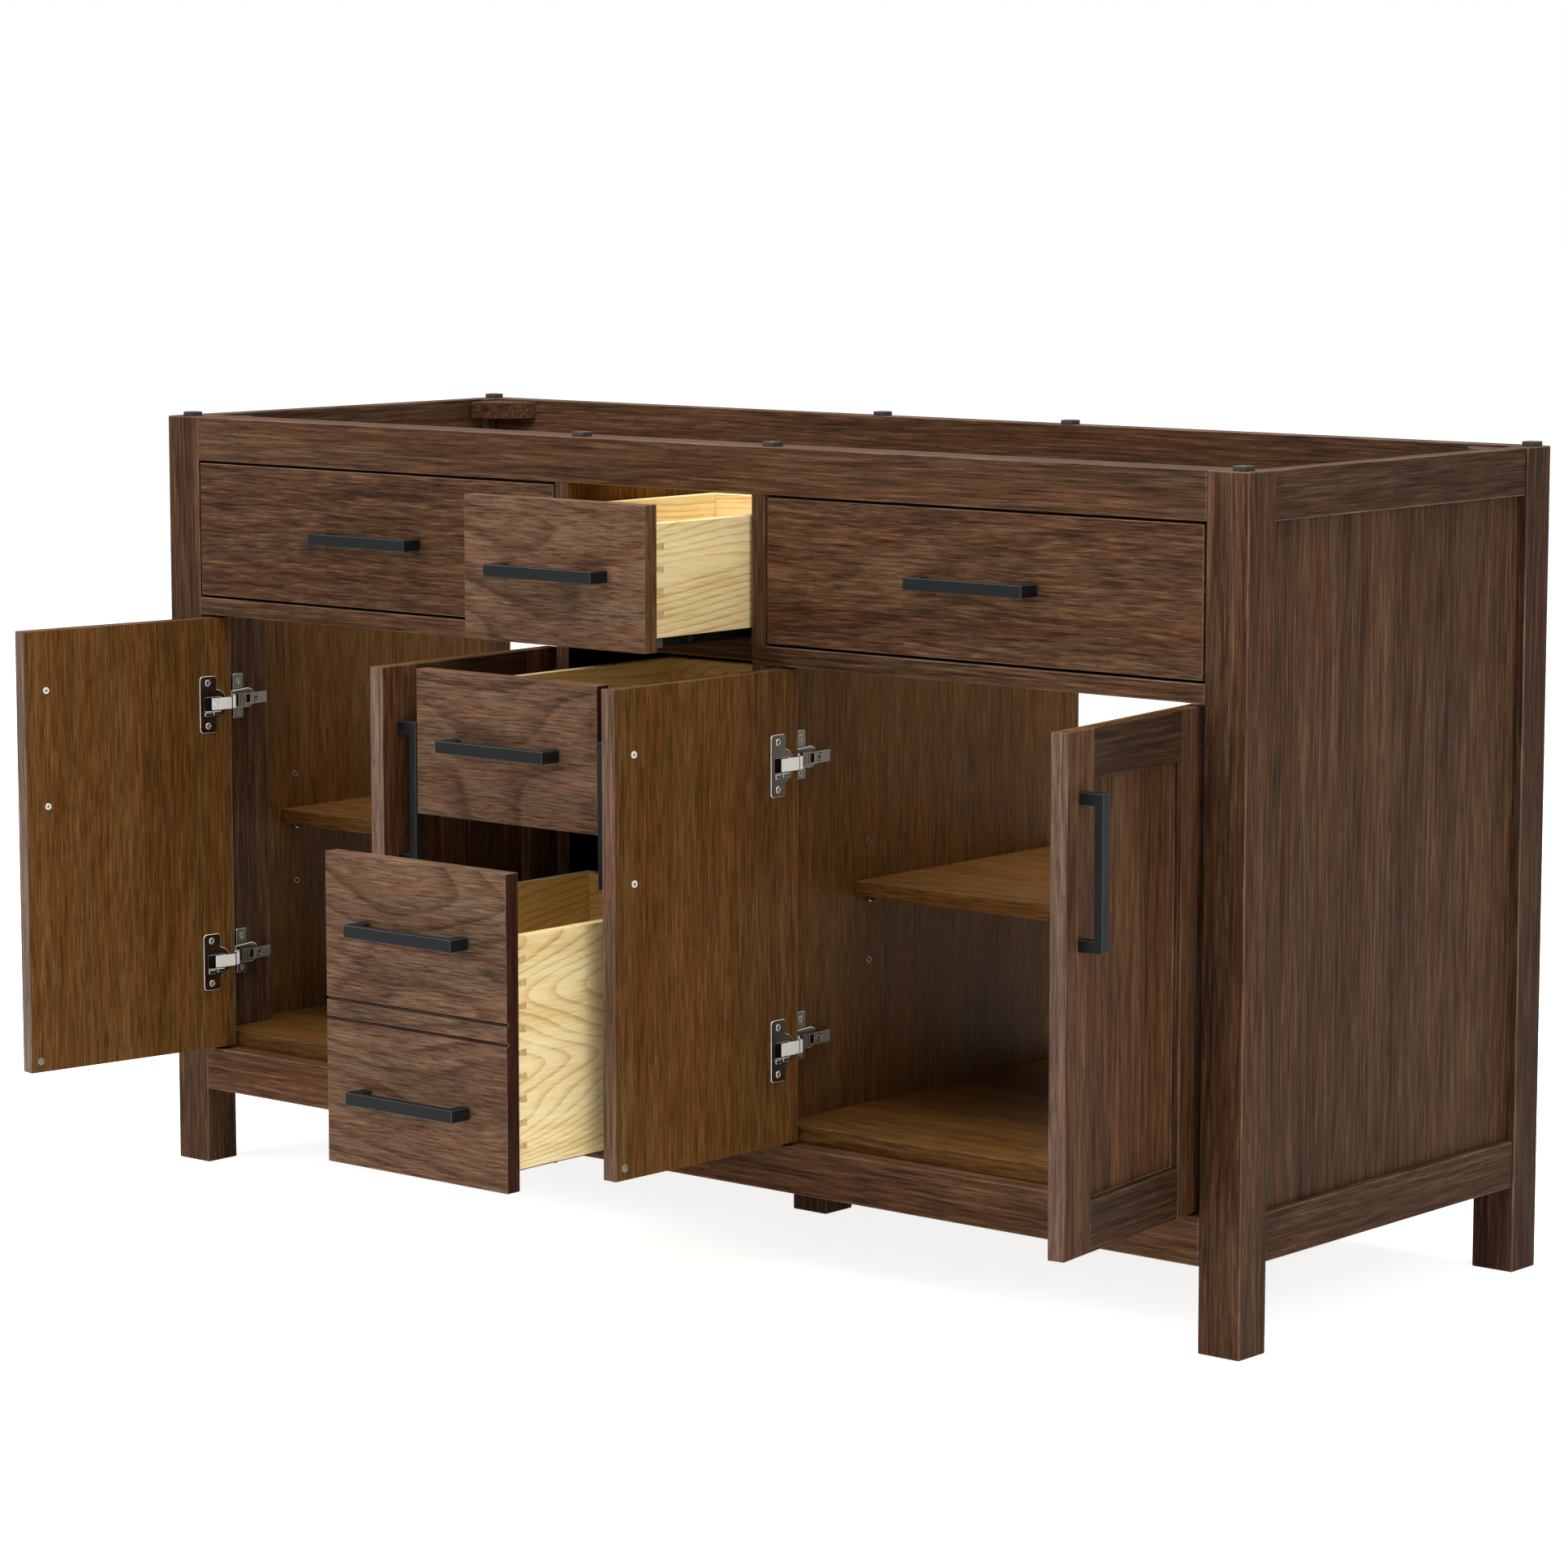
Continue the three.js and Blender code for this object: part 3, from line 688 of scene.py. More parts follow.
def facing(point, side):
    """A matrix that puts a piece's Z along X, out of a wall on the given side of a bay."""
    return shift(*point) @ mirrored(side) @ ALONG_X


def pin_mesh():
    """A shaft that stands out of its hole, a collar, and a flat spoon under the shelf."""
    shaft = lathe([(0, -0.5), (2.4, -0.5), (2.4, 1), (4.2, 1), (4.2, 2.2), (2.4, 2.4), (2.4, 6)],
                  20)
    spoon = plate([rounded((-4.5, -0.5), (4.5, 11), 3)], 1.6, turned(90, "X"))
    lift = shift(0, 3.4, 0)
    return joined([(shaft, ALONG_Z, 0), (spoon, lift, 0)])


def shelf_pins():
    pin = pin_mesh()
    # Each spare hole: a rim, and a disc of painted shade inside it.
    sleeve = joined([
        (plate([circle((0, 0), 3.6), circle((0, 0), 2.4)], 0.8), ALONG_Z, 0),
        (lathe([(0, 0.05), (2.6, 0.05)], 20), ALONG_Z, 1),
    ])
    for word, side in SIDES:
        shelf_low = mm(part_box(f"shelf_{word}"))[0]
        part_low, part_high = mm(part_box(f"partition_{word}"))
        wall_low, wall_high = mm(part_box(f"panel_side_{word}"))
        faces = {
            "inner": (part_high.x if side > 0 else part_low.x, side),
            "outer": (wall_low.x if side > 0 else wall_high.x, -side),
        }
        for place, (x, out) in faces.items():
            for row, y in enumerate(SHELF_PIN_ROWS):
                turn = facing((x, y, shelf_low.z - 4.4), out)
                add(f"shelf_pin_{word}_{place}_{row + 1}", pin.copy(), plain("nickel"), "carcass",
                    turn)
                for level, z in enumerate(SPARE_PIN_HEIGHTS):
                    add(f"pin_hole_{word}_{place}_{row + 1}_{level + 1}", sleeve.copy(),
                        plain("nickel", "hole_painted_shade"), "carcass", facing((x, y, z), out))


BACKER_REACH = 2.7  # how far the backing board reaches past the false front all round
BACKER_LIP = 10  # how far it hangs down behind the rail under it
BOARD = 18


def false_fronts():
    """A front with a gap all round it, and the dark backing board that closes the gap."""
    for word, _ in SIDES:
        node = f"false_front_{word}"
        low, high = mm(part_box(node))
        reach = BACKER_REACH
        seam = low.y + BOARD
        front = block((low.x + reach, low.y, low.z + reach), (high.x - reach, seam, high.z - reach))
        ease(add(f"{node}_board", front, walnut(X, "walnut_figured"), "carcass",
                 replaces=[node]), 0.9)
        behind_rail = mm(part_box(f"rail_middle_{word}"))[1].y + 0.2
        outline = [(seam + 0.1, low.z), (behind_rail, low.z), (behind_rail, low.z - BACKER_LIP),
                   (high.y, low.z - BACKER_LIP), (high.y, high.z), (seam + 0.1, high.z)]
        backer = prism(outline, low.x, high.x, ALONG_X)
        ease(add(f"{node}_backing", backer, inside(X), "carcass"), 0.3)


def false_front_brackets():
    """Angle brackets that hold each false front to the rail above it, with their screws."""
    head = screw(3.2)
    for word, _ in SIDES:
        front_low, front_high = mm(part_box(f"false_front_{word}"))
        under_rail = mm(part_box("rail_top_front"))[0].z
        for i, share in enumerate((0.22, 0.78)):
            x = front_low.x + share * (front_high.x - front_low.x)
            y = front_high.y
            wide = 11
            upright = plate([rounded((-wide, -30), (wide, 0), 2)], 1.6, ALONG_Y)
            flat = plate([rounded((-wide, 0), (wide, 16), 2)], 1.6)
            at_front = shift(x, y + 1, under_rail - 0.3)
            at_rail = shift(x, y + 0.6, under_rail - 1)
            to_back = shift(x, y + 1.6, under_rail - 19) @ turned(-90, "X")
            down = shift(x, y + 9.5, under_rail - 1.7) @ turned(180, "X")
            mesh = joined([(upright, at_front, 0), (flat, at_rail, 0), (head, to_back, None),
                           (head, down, None)])
            add(f"false_front_bracket_{word}_{i + 1}", mesh, hinge_metal(), "carcass")


# ---- Handles -------------------------------------------------------------------------


def dress_handles():
    for node in HANDLES:
        # Their eased edges take the lighter black: a painted highlight.
        dress(node, plain("black_handle", "black_handle_edge_highlight"), 0.7)


# ---- Doors ---------------------------------------------------------------------------

DOOR_FRAME = 50
DOOR_RECESS = 9
LIPPING = 1.2
CUP_FROM_EDGE = 24
CUP_RADIUS = 17.5
HINGE_HEIGHTS = {
    word: sum((mm(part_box(f"hinge_door_1_{word}"))[i].z for i in (0, 1))) / 2
    for word in ("upper", "lower")
}


class Door:
    """A door shut in its own frame: x away from the hinge edge, y inwards, z up."""

    def __init__(self, number):
        self.body = f"door_{number}"
        joint = JOINTS[f"{self.body}_swing"]
        self.to_free = -joint["axis"][Z]
        open_angle = math.radians(-joint["range_deg"][0])
        x, y, _ = mm(joint["pos_m"])
        self.pivot = (x, y)
        place = shift(x, y, 0)
        turn = Matrix.Rotation(-self.to_free * open_angle, 4, "Z")
        self.matrix = place @ turn
        back = mirrored(self.to_free) @ self.matrix.inverted()
        corners = [back @ (v.co / MM) for v in frame["nodes"][self.body].data.vertices]
        (self.hinge_x, self.free_x), (self.outer, self.inner), (self.bottom, self.top) = (
            (min(values), max(values)) for values in zip(*corners))

    def add(self, name, mesh, materials, slot, replaces=()):
        """The mesh itself is mirrored if need be, so that its matrix stays a plain turn."""
        self.mirror(mesh)
        return add(f"{self.body}_{name}", mesh, materials, self.body, self.matrix, replaces)

    def mirror(self, mesh):
        if self.to_free < 0:
            mesh.transform(mirrored(-1))
            mesh.flip_normals()


def door_boards(door):
    seam = door.outer + DOOR_RECESS
    left, right = door.hinge_x, door.free_x
    for name, edge, into in (("stile_hinge", left, 1), ("stile_free", right, -1)):
        face, lip = edge + into * DOOR_FRAME, edge + into * LIPPING
        outline = [(edge, door.outer), (face, door.outer), (face, seam), (lip, seam),
                   (lip, door.inner), (edge, door.inner)]
        piece = door.add(name, prism(outline, door.bottom, door.top), walnut(Z, "walnut_warm"),
                         "walnut_stain", [door.body] if into > 0 else ())
        ease(piece, 0.7)
        # The free edge takes the lighter edge wood: partly wear, partly a painted highlight where
        # it catches the light.
        if into < 0:
            paint(piece.data, 1, (door.to_free, 0, 0))
    gap = 0.7
    heights = {"rail_lower": (door.bottom, door.bottom + DOOR_FRAME),
               "rail_upper": (door.top - DOOR_FRAME, door.top)}
    for name, (low, high) in heights.items():
        mesh = block((left + DOOR_FRAME + gap, door.outer, low),
                     (right - DOOR_FRAME - gap, seam, high))
        ease(door.add(name, mesh, walnut(X, "walnut_door_rail"), "walnut_stain"), 0.5)
    panel = rectangle((left + LIPPING + 0.1, door.bottom + 0.2),
                      (right - LIPPING - 0.1, door.top - 0.2))
    cups = [circle((left + CUP_FROM_EDGE, z), 16.6, 32) for z in HINGE_HEIGHTS.values()]
    thick = door.inner - seam - 0.1
    turn = shift(0, door.inner - thick / 2, 0) @ ALONG_Y
    mesh = plate([panel, *cups], thick, turn, 0.3)
    paint(mesh, 1, (0, -1, 0))
    door.add("panel", mesh, [wood("inside", Z), wood("walnut_warm", Z)], "walnut_inside")


def panel_bead(door):
    """A slim bead that runs round the recess where the panel meets the frame."""
    left, right = door.hinge_x + DOOR_FRAME, door.free_x - DOOR_FRAME
    low, high = door.bottom + DOOR_FRAME, door.top - DOOR_FRAME
    edges = [rectangle((left + step, low + step), (right - step, high - step))
             for step in (0.1, 1.6)]
    y = door.outer + DOOR_RECESS - 0.6
    mesh = plate(edges, 1.2, shift(0, y, 0) @ ALONG_Y, 0.4)
    # The bead's lighter edge wood is partly wear, partly a painted highlight along the recess.
    door.add("panel_bead", mesh, [wood("walnut_edge_wear_and_highlight", Z)], "walnut_stain")


def outward(point):
    """Puts a mesh that looks along its own Z on the inner face of a shut door."""
    return shift(*point) @ turned(-90, "X")


HANDLE_SCREW_FROM_CENTRE = 66
HANDLE_FROM_FREE_EDGE = 28


def door_fittings(door):
    handle_low, handle_high = mm(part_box(f"handle_{door.body}"))
    centre = (handle_low.z + handle_high.z) / 2
    x = door.free_x - HANDLE_FROM_FREE_EDGE
    for word, step in (("lower", -1), ("upper", 1)):
        at = outward((x, door.inner, centre + step * HANDLE_SCREW_FROM_CENTRE))
        # The screw head is near-white, a painted highlight; its recess takes painted shade.
        mesh = joined([(screw(3.7, 1.5), at, None)])
        door.add(f"handle_screw_{word}", mesh, plain("nickel_painted_highlight", "hole_painted_shade"), "nickel")
    dome = lathe([(4.5, 0), (4.4, 0.9), (3.4, 1.8), (1.8, 2.3), (0, 2.45)], 24)
    at = outward((door.free_x - 12, door.inner + 0.05, door.bottom + 13))
    door.add("bumper", joined([(dome, at, 0)]), plain("clear_plastic"), "clear_plastic")


# ---- Hinges --------------------------------------------------------------------------

LINK_PROUD = 2.6
LINK_THICKNESS = 1.6
LINK_HALF = 6.8


def hinge_metal():
    """Plain metal, painted shade inside holes, and rims with a painted highlight."""
    return plain("nickel", "hole_painted_shade", "nickel_painted_highlight")


def paint_rim_highlights(mesh):
    """Chamfers, the faces that look between the axes, get a painted highlight."""
    for face in mesh.polygons:
        if face.material_index == 0 and max(abs(part) for part in face.normal) < 0.93:
            face.material_index = 2


def cup_outline(x, z):
    """An upright plate with a half-round lobe towards the door's hinge edge."""
    low_x, high_x = x - 3, x + 20
    tall = 33
    reach = math.sqrt(CUP_RADIUS ** 2 - (low_x - x) ** 2)
    half = [(high_x, z + tall - 5), *arc((high_x - 5, z + tall - 5), 5, 0, 90),
            *arc((low_x + 4, z + tall - 4), 4, 90, 180), (low_x, z + reach + 2)]
    half += arc((x, z), CUP_RADIUS, math.degrees(math.atan2(reach, low_x - x)), 180, 8)
    return half + [(px, 2 * z - pz) for px, pz in reversed(half[:-1])]


def hinge_cup(door, word):
    """The cup, its flange and screws, the spring clips, and the link that leaves the cup."""
    z = HINGE_HEIGHTS[word]
    x = door.hinge_x + CUP_FROM_EDGE
    face = door.inner
    mouth = rounded((x - 10, z - 8), (x + 14, z + 8), 2.5)
    flange = plate([cup_outline(x, z), mouth], 1.5, shift(0, face + 0.8, 0) @ ALONG_Y, 0.4)
    bowl = lathe([(16.4, 0), (16.2, -6.5), (14.5, -8.3), (0, -8.3)])
    head = screw(3.6, 1.3)
    heads = [outward((x + 9, face + 1.4, z + step * 25)) for step in (-1, 1)]
    clip = plate([rounded((0, 0), (10, 4), 1.2)], 1.6, ALONG_Y)
    clips = [shift(x - 8, face + 2.2, z - 12.6), shift(x + 4, face + 2.4, z - 13.4)]
    top, under = face + LINK_PROUD, face + LINK_PROUD - LINK_THICKNESS
    # The cup's bowl and the block under the link take painted shade.
    root = block((x - 8, face - 7, z - 5), (x - 3, under, z + 5))
    parts = [(flange, ALONG_Z, 0), (bowl, outward((x, face, z)), 1), (root, ALONG_Z, 1)]
    parts += [(head, at, None) for at in heads]
    parts += [(clip, at, 0) for at in clips]
    mesh = joined(parts)
    paint_rim_highlights(mesh)
    door.add(f"hinge_cup_{word}", mesh, hinge_metal(), "nickel")
    # The link is near-white: a painted highlight on the nickel.
    start, tip = x + 3.5, door.hinge_x + 0.8
    link = [(start, under), (start, top), (tip, top), (tip - 0.4, under)]
    ease(door.add(f"hinge_link_{word}", prism(link, z - LINK_HALF, z + LINK_HALF),
                  plain("nickel_painted_highlight"), "nickel"), 0.25, -1)


def fixed_link(door, word):
    """The other half of the link, from the door's edge to the arm.

    It is drawn from the pivot, with x out from the wall, and keeps just outside the circle that the
    door sweeps.
    """
    d = door.inner
    outline = [(d + 2.6, 14.4), (d + 2.4, 19), (d + 1, 20.6), (d - 6, 22.6), (-0.2, 24),
               (-0.2, 28.5), (-1.8, 28.5), (-1.8, 22.7), (d - 6.5, 21.2), (d + 0.8, 18),
               (d + 1, 15.8)]
    mesh = prism(outline, -LINK_HALF, LINK_HALF)
    pin = lathe([(0, -8), (1.6, -8), (1.6, 8), (0, 8)], 16)
    mesh = joined([(mesh, ALONG_Z, 0), (pin, shift(5, 25.5, 0), 0)])
    door.mirror(mesh)
    place = shift(*door.pivot, HINGE_HEIGHTS[word])
    # Near-white: a painted highlight on the nickel.
    ease(add(f"hinge_{door.body}_{word}_link", mesh, plain("nickel_painted_highlight"), "carcass",
             place), 0.25, -1)


# The fixed half, drawn for a wall at x = 0 that it stands out of towards +X: y runs back into the
# cabinet from the mounting plate's centre, and z up from the arm's centre.
ARM_FRONT = -29
ARM_BACK = 37
ARM_HALF = 6.5
ARM_OUT = 15.8


def mounting_plate():
    wings = rounded((-8, -23), (8, 29), 2)
    slots = [rounded((-2.2, 17), (2.2, 25), 2.1), rounded((-2.2, -20), (2.2, -14), 2.1)]
    base = [(-13, -10), (-13, 10), (14, 11.5), (20, 9), (24, 4), (24, -4), (20, -9), (14, -11.5)]
    wing_plate = plate([wings, *slots], 2.4, ALONG_X)
    raised = plate([base], 3.4, ALONG_X, 0.7)
    head = screw(2.9)
    to_x = turned(90, "Y")
    heads = [(head, shift(1.6, 0, z) @ to_x, None) for z in (21, -17)]
    return [(wing_plate, shift(1.2, 0, 0), 0), (raised, shift(4, 0, 0), 0), *heads]


def arm_channel():
    """The arm: two cheeks, a web between them with a slot, and its screws."""
    profile = [(5.5, ARM_BACK - 14), (9, ARM_BACK), (12.6, ARM_BACK - 1),
               (ARM_OUT, -12), (ARM_OUT, -14), (7.5, -14), (5.8, -6)]
    parts = []
    for side in (-1, 1):
        low, high = sorted((side * ARM_HALF, side * (ARM_HALF - 1.1)))
        parts.append((prism(profile, low, high), ALONG_Z, 0))
    length = ARM_BACK + 13
    web = rectangle((0, -ARM_HALF), (length, ARM_HALF))
    slot = rounded((15, -4.8), (22, 4.8), 1.2)
    lock = circle((31, 0), 5.0)
    tilt = math.atan2(ARM_OUT - 12.8, length)
    web_place = shift(ARM_OUT - 0.6, -13.5, 0) @ Matrix.Rotation(tilt, 4, "Z") @ ALONG_X
    parts.append((plate([web, slot, lock], 1.1, chamfer=0.3), web_place, 0))
    # A dark block inside the channel: painted shade.
    parts.append((block((6, -10, -4.9), (10.5, ARM_BACK - 9, 4.9)), ALONG_Z, 1))
    to_x = turned(90, "Y")
    parts.append((screw(4.3, 1.4), shift(12.6, 17.5, 0) @ to_x, None))
    bracket = [(ARM_OUT + 1.2, -13.5), (ARM_OUT + 1.0, -1.5), (13, -1.5), (13, -13.5)]
    parts.append((prism(bracket, -7.4, 7.4), ALONG_Z, 0))
    # A dark block under the bracket and dark lines across it where parts meet: painted shade.
    parts.append((block((8, -17.5, -6), (ARM_OUT - 1, -13.4, 6)), ALONG_Z, 1))
    for y in (-10.4, -4.6):
        line = block((13, y, -5.6), (ARM_OUT + 1.25, y + 0.8, 5.6))
        parts.append((line, ALONG_Z, 1))
    return parts


def hinge_arm(door, word):
    """The mounting plate, the arm and the smooth tongue in front of it that the link meets."""
    node = f"hinge_{door.body}_{word}"
    low, high = mm(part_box(node))
    wall = low.x if door.to_free > 0 else high.x
    centre = (wall, low.y - ARM_FRONT, HINGE_HEIGHTS[word])
    turn = shift(*centre) @ mirrored(door.to_free)
    # Chamfers, the arm's eased edges and the tongue take painted highlights; dark blocks in the arm
    # take painted shade.
    base = joined(mounting_plate(), turn)
    paint_rim_highlights(base)
    add(f"{node}_plate", base, hinge_metal(), "carcass", replaces=[node])
    ease(add(f"{node}_arm", joined(arm_channel(), turn), hinge_metal(), "carcass"),
         0.3, 2, 1)
    outline = [(ARM_OUT, ARM_FRONT + 1), (ARM_OUT, -17), (ARM_OUT - 1.8, -17),
               (ARM_OUT - 1.8, ARM_FRONT + 0.4)]
    tongue = joined([(prism(outline, -6.6, 6.6), ALONG_Z, 0)], turn)
    ease(add(f"{node}_tongue", tongue, plain("nickel_painted_highlight"), "carcass"), 0.3, -1)


def doors():
    for number in range(1, 5):
        door = Door(number)
        door_boards(door)
        panel_bead(door)
        door_fittings(door)
        for word in HINGE_HEIGHTS:
            hinge_cup(door, word)
            fixed_link(door, word)
            hinge_arm(door, word)


# ---- Drawers -------------------------------------------------------------------------

DRAWER_SIDE = 13
DRAWER_BOTTOM = 6
DRAWER_BOTTOM_RECESS = 12
TAIL_PITCH = 25
TAIL_SLOPE = 1.6
PIN_WIDTH = 7
PLAY = 0.12


def pin_centres(low, high):
    """Heights of the dovetail pins between the lower and the upper edge."""
    count = max(2, round((high - low) / TAIL_PITCH))
    pitch = (high - low) / count
    return [low + pitch * i for i in range(1, count)]


def pin_section(y_end, into, z):
    """A pin seen from the side of the drawer: narrow at the end of the side board."""
    root = y_end + into * DRAWER_SIDE
    narrow, wide = PIN_WIDTH / 2 - TAIL_SLOPE, PIN_WIDTH / 2
    return [(y_end, z - narrow), (y_end, z + narrow), (root, z + wide), (root, z - wide)]


def drawer_side(low, high, side):
    """A side board whose ends are cut into tails round the pins."""
    zs = pin_centres(low.z, high.z)
    narrow, wide = PIN_WIDTH / 2 - TAIL_SLOPE + PLAY, PIN_WIDTH / 2 + PLAY
    depth = DRAWER_SIDE + PLAY
    outline = [(low.y, low.z), (high.y, low.z)]
    for z in zs:
        outline += [(high.y, z - narrow), (high.y - depth, z - wide),
                    (high.y - depth, z + wide), (high.y, z + narrow)]
    outline += [(high.y, high.z), (low.y, high.z)]
    for z in reversed(zs):
        outline += [(low.y, z + narrow), (low.y + depth, z + wide),
                    (low.y + depth, z - wide), (low.y, z - narrow)]
    outer = high.x if side > 0 else low.x
    inner = outer - side * DRAWER_SIDE
    return prism(outline, min(inner, outer), max(inner, outer), ALONG_X)


def drawer_end(low, high, y_end, into):
    """The front or back board, with its pins standing into the side boards."""
    half = high.x - DRAWER_SIDE
    root = y_end + into * DRAWER_SIDE
    parts = [(block((-half + PLAY, y_end, low.z), (half - PLAY, root, high.z)), ALONG_Z, 0)]
    for z in pin_centres(low.z, high.z):
        section = pin_section(y_end, into, z)
        for side in (-1, 1):
            span = sorted((side * (half - PLAY), side * (high.x - 0.05)))
            parts.append((prism(section, *span, ALONG_X), ALONG_Z, 1))
    return joined(parts)


def drawer_box(name):
    node = f"drawer_{name}_box"
    body = f"drawer_{name}"
    low, high = mm(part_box(node))
    for word, side in SIDES:
        mesh = drawer_side(low, high, side)
        ease(add(f"{body}_side_{word}", mesh, pine(Y), body,
                 replaces=[node] if side < 0 else ()), 0.5, 0)
    for word, y, into in (("front", low.y, 1), ("back", high.y, -1)):
        mesh = drawer_end(low, high, y, into)
        ease(add(f"{body}_box_{word}", mesh, pine(X), body), 0.4, -1)
    inner = high.x - DRAWER_SIDE - PLAY
    under = low.z + DRAWER_BOTTOM_RECESS
    mesh = block((-inner, low.y + DRAWER_SIDE + PLAY, under),
                 (inner, high.y - DRAWER_SIDE - PLAY, under + DRAWER_BOTTOM))
    ease(add(f"{body}_bottom", mesh, pine(Y), body), 0.3, 0)


GROOVES = {"top": [], "middle": [], "bottom": [293, 313.5]}  # their heights


def drawer_front_board(name):
    """The bottom front's two grooves make it look like two drawers and the rail between them."""
    low, high = mm(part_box(f"drawer_{name}_front"))
    depth, half, root = 3.2, 1.8, 1.3
    outline = rectangle((low.y, low.z), (high.y, high.z))
    for z in reversed(GROOVES[name]):
        outline += [(low.y, z + half), (low.y + depth, z + root), (low.y + depth, z - root),
                    (low.y, z - half)]
    mesh = prism(outline, low.x, high.x, ALONG_X)
    for end in (-1, 1):
        paint(mesh, 2, (end, 0, 0))
    for face in mesh.polygons:
        if 0.1 * depth < face.center.y - low.y < 1.1 * depth:
            face.material_index = 3
    groove = wood("walnut_end", X)
    # The top front's ends take the lighter inside edge wood: partly wear, partly a painted
    # highlight.
    ends = wood("inside_edge_wear_and_highlight", Z) if name == "top" else wood("walnut_end", Z)
    ease(add(f"drawer_{name}_front_board", mesh, [*walnut(X, "walnut_drawer_front"), ends, groove],
             f"drawer_{name}", replaces=[f"drawer_{name}_front"]), 0.6)


MEMBER = {"inner": 97.5, "outer": 111, "wall": 1.3}
ROLLERS = (0.12, 0.4, 0.68, 0.92)  # how far back along the member


def slide_member(name, word, side, drop):
    """The moving member: a channel under the box, its rollers, and a runner under the side."""
    low, high = mm(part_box(f"drawer_{name}_box"))
    bottom, top = low.z - drop, low.z + DRAWER_BOTTOM_RECESS - 0.3
    a, b, wall = MEMBER["inner"], MEMBER["outer"], MEMBER["wall"]
    ledge = low.z + 2
    outline = [(a, top), (b, top), (b, bottom), (b - 6, bottom), (b - 6, bottom + wall),
               (b - wall, bottom + wall), (b - wall, ledge), (a + wall, ledge),
               (a + wall, top - wall), (a, top - wall)]
    outline = [(side * x, z) for x, z in outline]
    start, end = low.y + DRAWER_SIDE + 15, high.y - DRAWER_SIDE - 1
    channel = prism(outline, start, end, ALONG_Y)
    runner = block((side * (b - 0.5), low.y + 1, low.z - 0.85),
                   (side * 125.6, high.y - 1, low.z - 0.1))
    parts = [(channel, ALONG_Z, 0), (runner, ALONG_Z, 0)]
    # The rollers take the lighter steel: a painted highlight.
    roller = lathe([(0, 0), (3.2, 0), (3.2, 2.2), (1.2, 2.4), (0, 2.4)], 20)
    for share in ROLLERS:
        y = start + share * (end - start)
        centre = (side * b, y, (low.z + bottom) / 2)
        parts.append((roller, facing(centre, side), 1))
    add(f"drawer_{name}_slide_member_{word}", joined(parts),
        plain("slide_steel", "slide_steel_edge_highlight"), f"drawer_{name}")


def locking_device(name, word, side, drop):
    """The clip that joins the box to its slide, with its thumb lever."""
    low, _ = mm(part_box(f"drawer_{name}_box"))
    x0, x1 = side * 68.5, side * 97
    top = low.z + DRAWER_BOTTOM_RECESS - 0.2
    front = low.y + DRAWER_SIDE + 0.5
    body_block = block((x0, front, low.z + 1), (x1, front + 42, top))
    lever = block((side * 82.5, front + 1, low.z - drop - 0.4),
                  (side * 112.4, front + 13, low.z - 1))
    mesh = joined([(body_block, ALONG_Z, 0), (lever, ALONG_Z, 0)])
    body = f"drawer_{name}"
    ease(add(f"{body}_lock_{word}", mesh, plain("grey_plastic"), body), 0.8, -1)


DRAWER_DROPS = {"top": 12, "middle": 12, "bottom": 5}  # how far each slide hangs below its box


def drawers():
    for name, drop in DRAWER_DROPS.items():
        drawer_box(name)
        for word, side in SIDES:
            slide_member(name, word, side, drop)
            locking_device(name, word, side, drop)
            # The slides' eased edges take the lighter steel: a painted highlight.
            dress(f"slide_{name}_{word}", plain("slide_steel", "slide_steel_edge_highlight"), 0.5)
        drawer_front_board(name)


# ---- Floor, light and camera ---------------------------------------------------------

# How strongly the floor glows: as the camera sees it, and as it lights the object.
FLOOR_SEEN = 0.85
FLOOR_FILL = 0.24


def studio_floor():
    """A pale floor that meets the white backdrop without an edge."""
    bpy.ops.mesh.primitive_plane_add(size=80, location=(0, 0, CAD_BOX[0][2] - 0.2 * MM))
    floor = bpy.context.object
    floor.name = "studio_floor"

    def make(g):
        place = g.node("TexCoord", {}).outputs["Object"]
        shade = g.ramp(g.noise(place, 0.6, 2.0), [(0.3, (0.78,) * 3), (0.7, (0.80,) * 3)])
        seen = g.node("LightPath", {}).outputs["Is Camera Ray"]
        glow = g.spread(seen, 0.0, 1.0, FLOOR_FILL, FLOOR_SEEN)
        g.feed(g.shader.inputs["Emission Strength"], glow)
        g.finish(shade, 0.8, Specular_IOR_Level=0.1, Emission_Color=(1, 1, 1, 1))

    floor.data.materials.append(once("studio_floor", make))


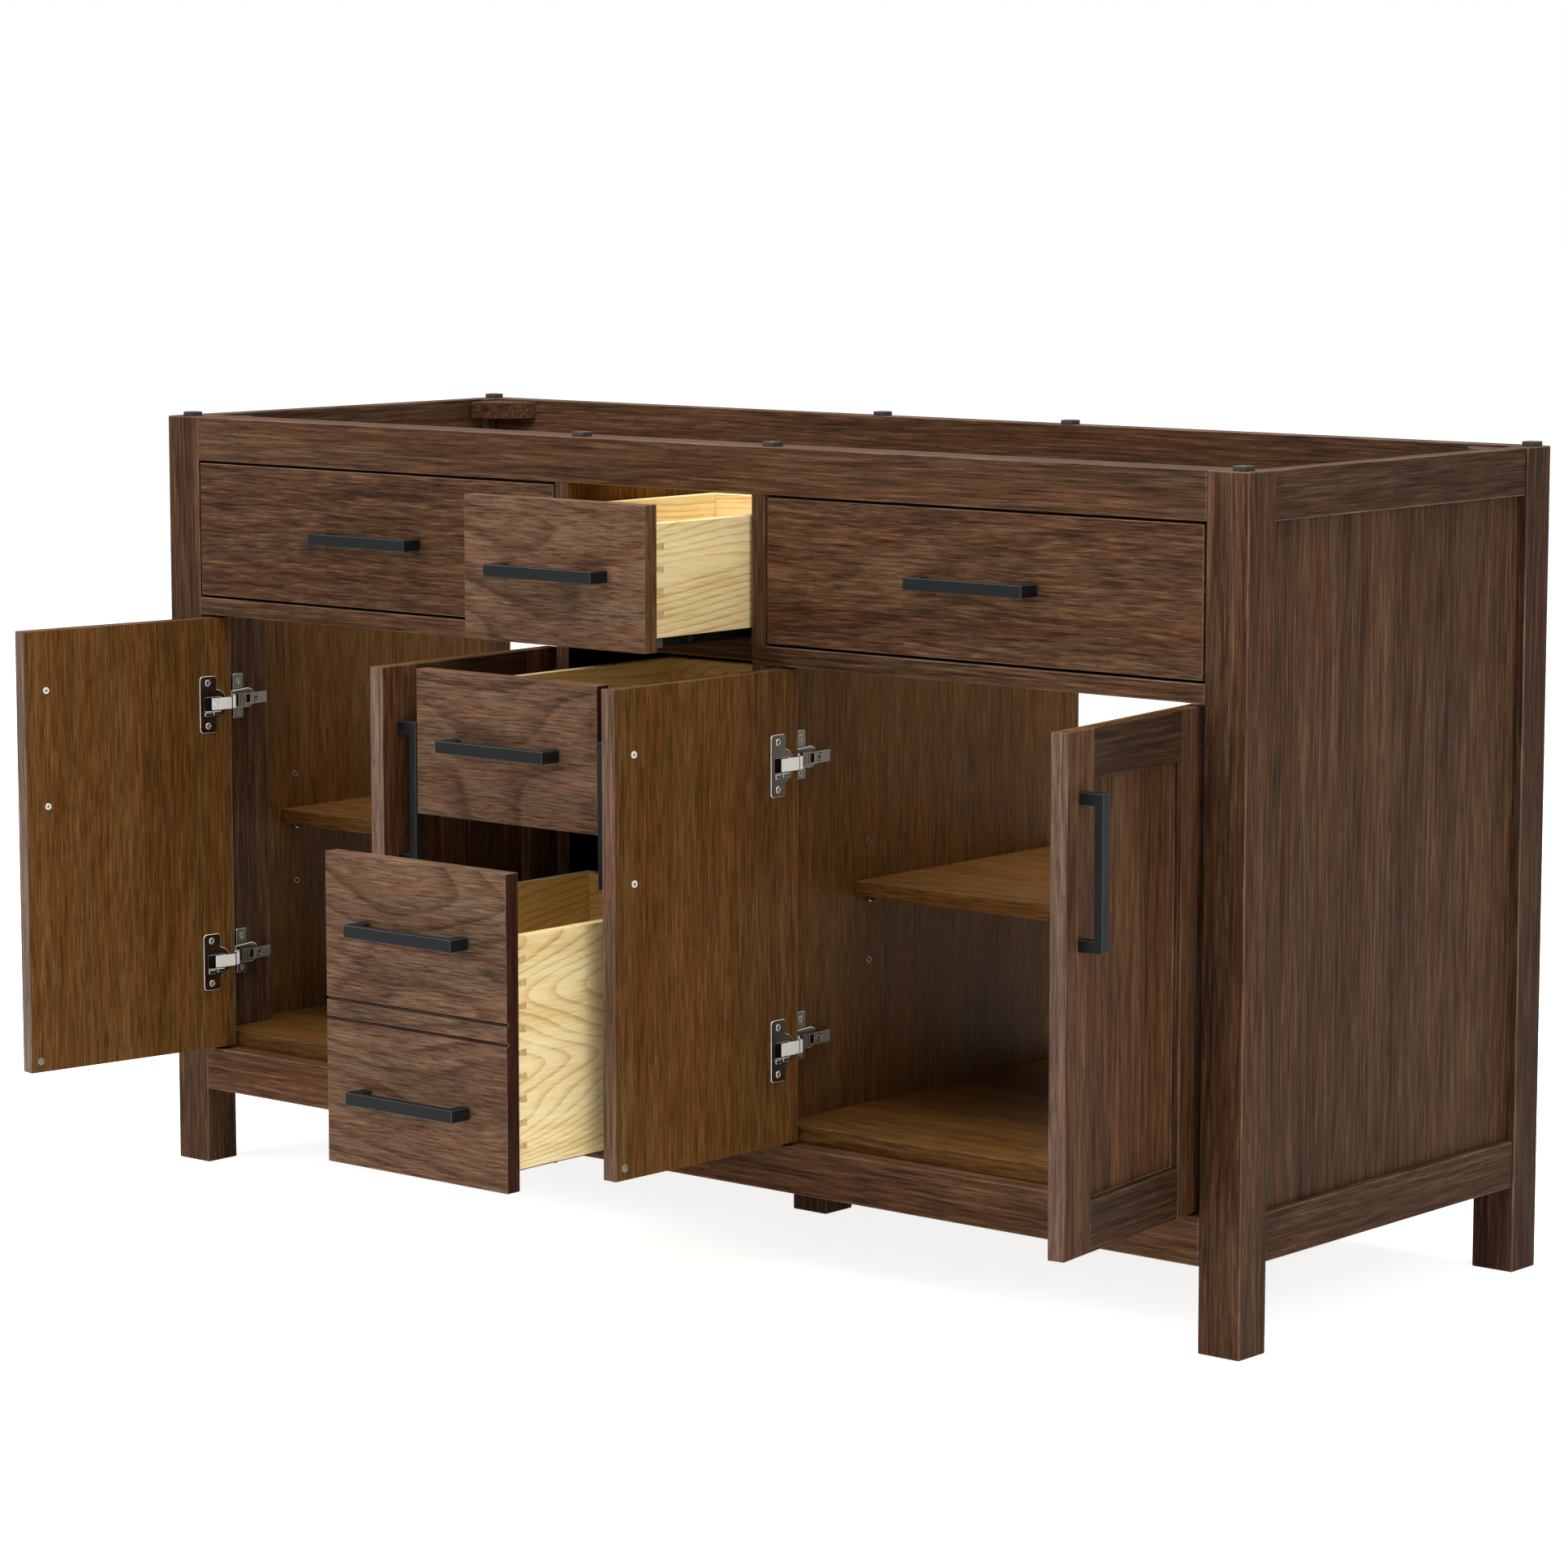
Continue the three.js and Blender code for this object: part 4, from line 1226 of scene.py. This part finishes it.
def area_light(name, place, target, size, watts):
    data = bpy.data.lights.new(name, "AREA")
    data.shape = "RECTANGLE"
    data.size, data.size_y = size
    data.energy = watts
    lamp = bpy.data.objects.new(name, data)
    bpy.context.scene.collection.objects.link(lamp)
    lamp.location = place
    aim = Vector(target) - Vector(place)
    lamp.rotation_euler = aim.to_track_quat("-Z", "Y").to_euler()


# How bright the room is: as the camera sees it, as metal reflects it, in front of the object and
# behind it.
BACKDROP = 1.0
REFLECTED = 0.6
FILL_FRONT = 0.52
FILL_BEHIND = 0.08


def studio_light():
    """A white room that lights the object mostly from the front, with three soft boxes."""
    world = bpy.data.worlds.new("studio")
    bpy.context.scene.world = world
    world.use_nodes = True
    g = Graph(world.node_tree, "Background")
    g.shader.inputs["Color"].default_value = (1, 1, 1, 1)
    way = g.node("SeparateXYZ", {0: g.node("TexCoord", {}).outputs["Generated"]})
    level = g.spread(way.outputs["Y"], -0.4, 0.5, FILL_FRONT, FILL_BEHIND)
    ray = g.node("LightPath", {}).outputs
    for kind, strength in (("Is Camera Ray", BACKDROP), ("Is Glossy Ray", REFLECTED)):
        level = g.calc("MAXIMUM", level, g.calc("MULTIPLY", ray[kind], strength))
    g.feed(g.shader.inputs["Strength"], level)
    area_light("key", (-2.6, -4.6, 3.0), (0, -0.2, 0.4), (3.0, 2.4), 86)
    area_light("side", (4.8, -2.2, 2.9), (0.3, -0.1, 0.5), (2.8, 2.4), 42)
    area_light("overhead", (0.2, -0.6, 5.0), (0, -0.2, 0), (5.5, 5.5), 405)


CAMERA_PLACE = (3.4669, -4.1566, 1.1924)
CAMERA_YAW = 40.292
CAMERA_PITCH = 7.480
CAMERA_LENS = 112.557


def studio_camera():
    data = bpy.data.cameras.new("camera")
    data.lens = CAMERA_LENS
    data.sensor_width = 36
    camera = bpy.data.objects.new("camera", data)
    bpy.context.scene.collection.objects.link(camera)
    camera.location = CAMERA_PLACE
    camera.rotation_euler = (math.radians(90 - CAMERA_PITCH), 0, math.radians(CAMERA_YAW))
    bpy.context.scene.camera = camera
    bpy.context.scene.view_settings.view_transform = "Standard"


dress_carcass()
side_panels()
partitions()
top_rails()
corner_blocks()
top_pads()
shelf_pins()
false_fronts()
false_front_brackets()
dress_handles()
doors()
drawers()
studio_floor()
studio_light()
studio_camera()
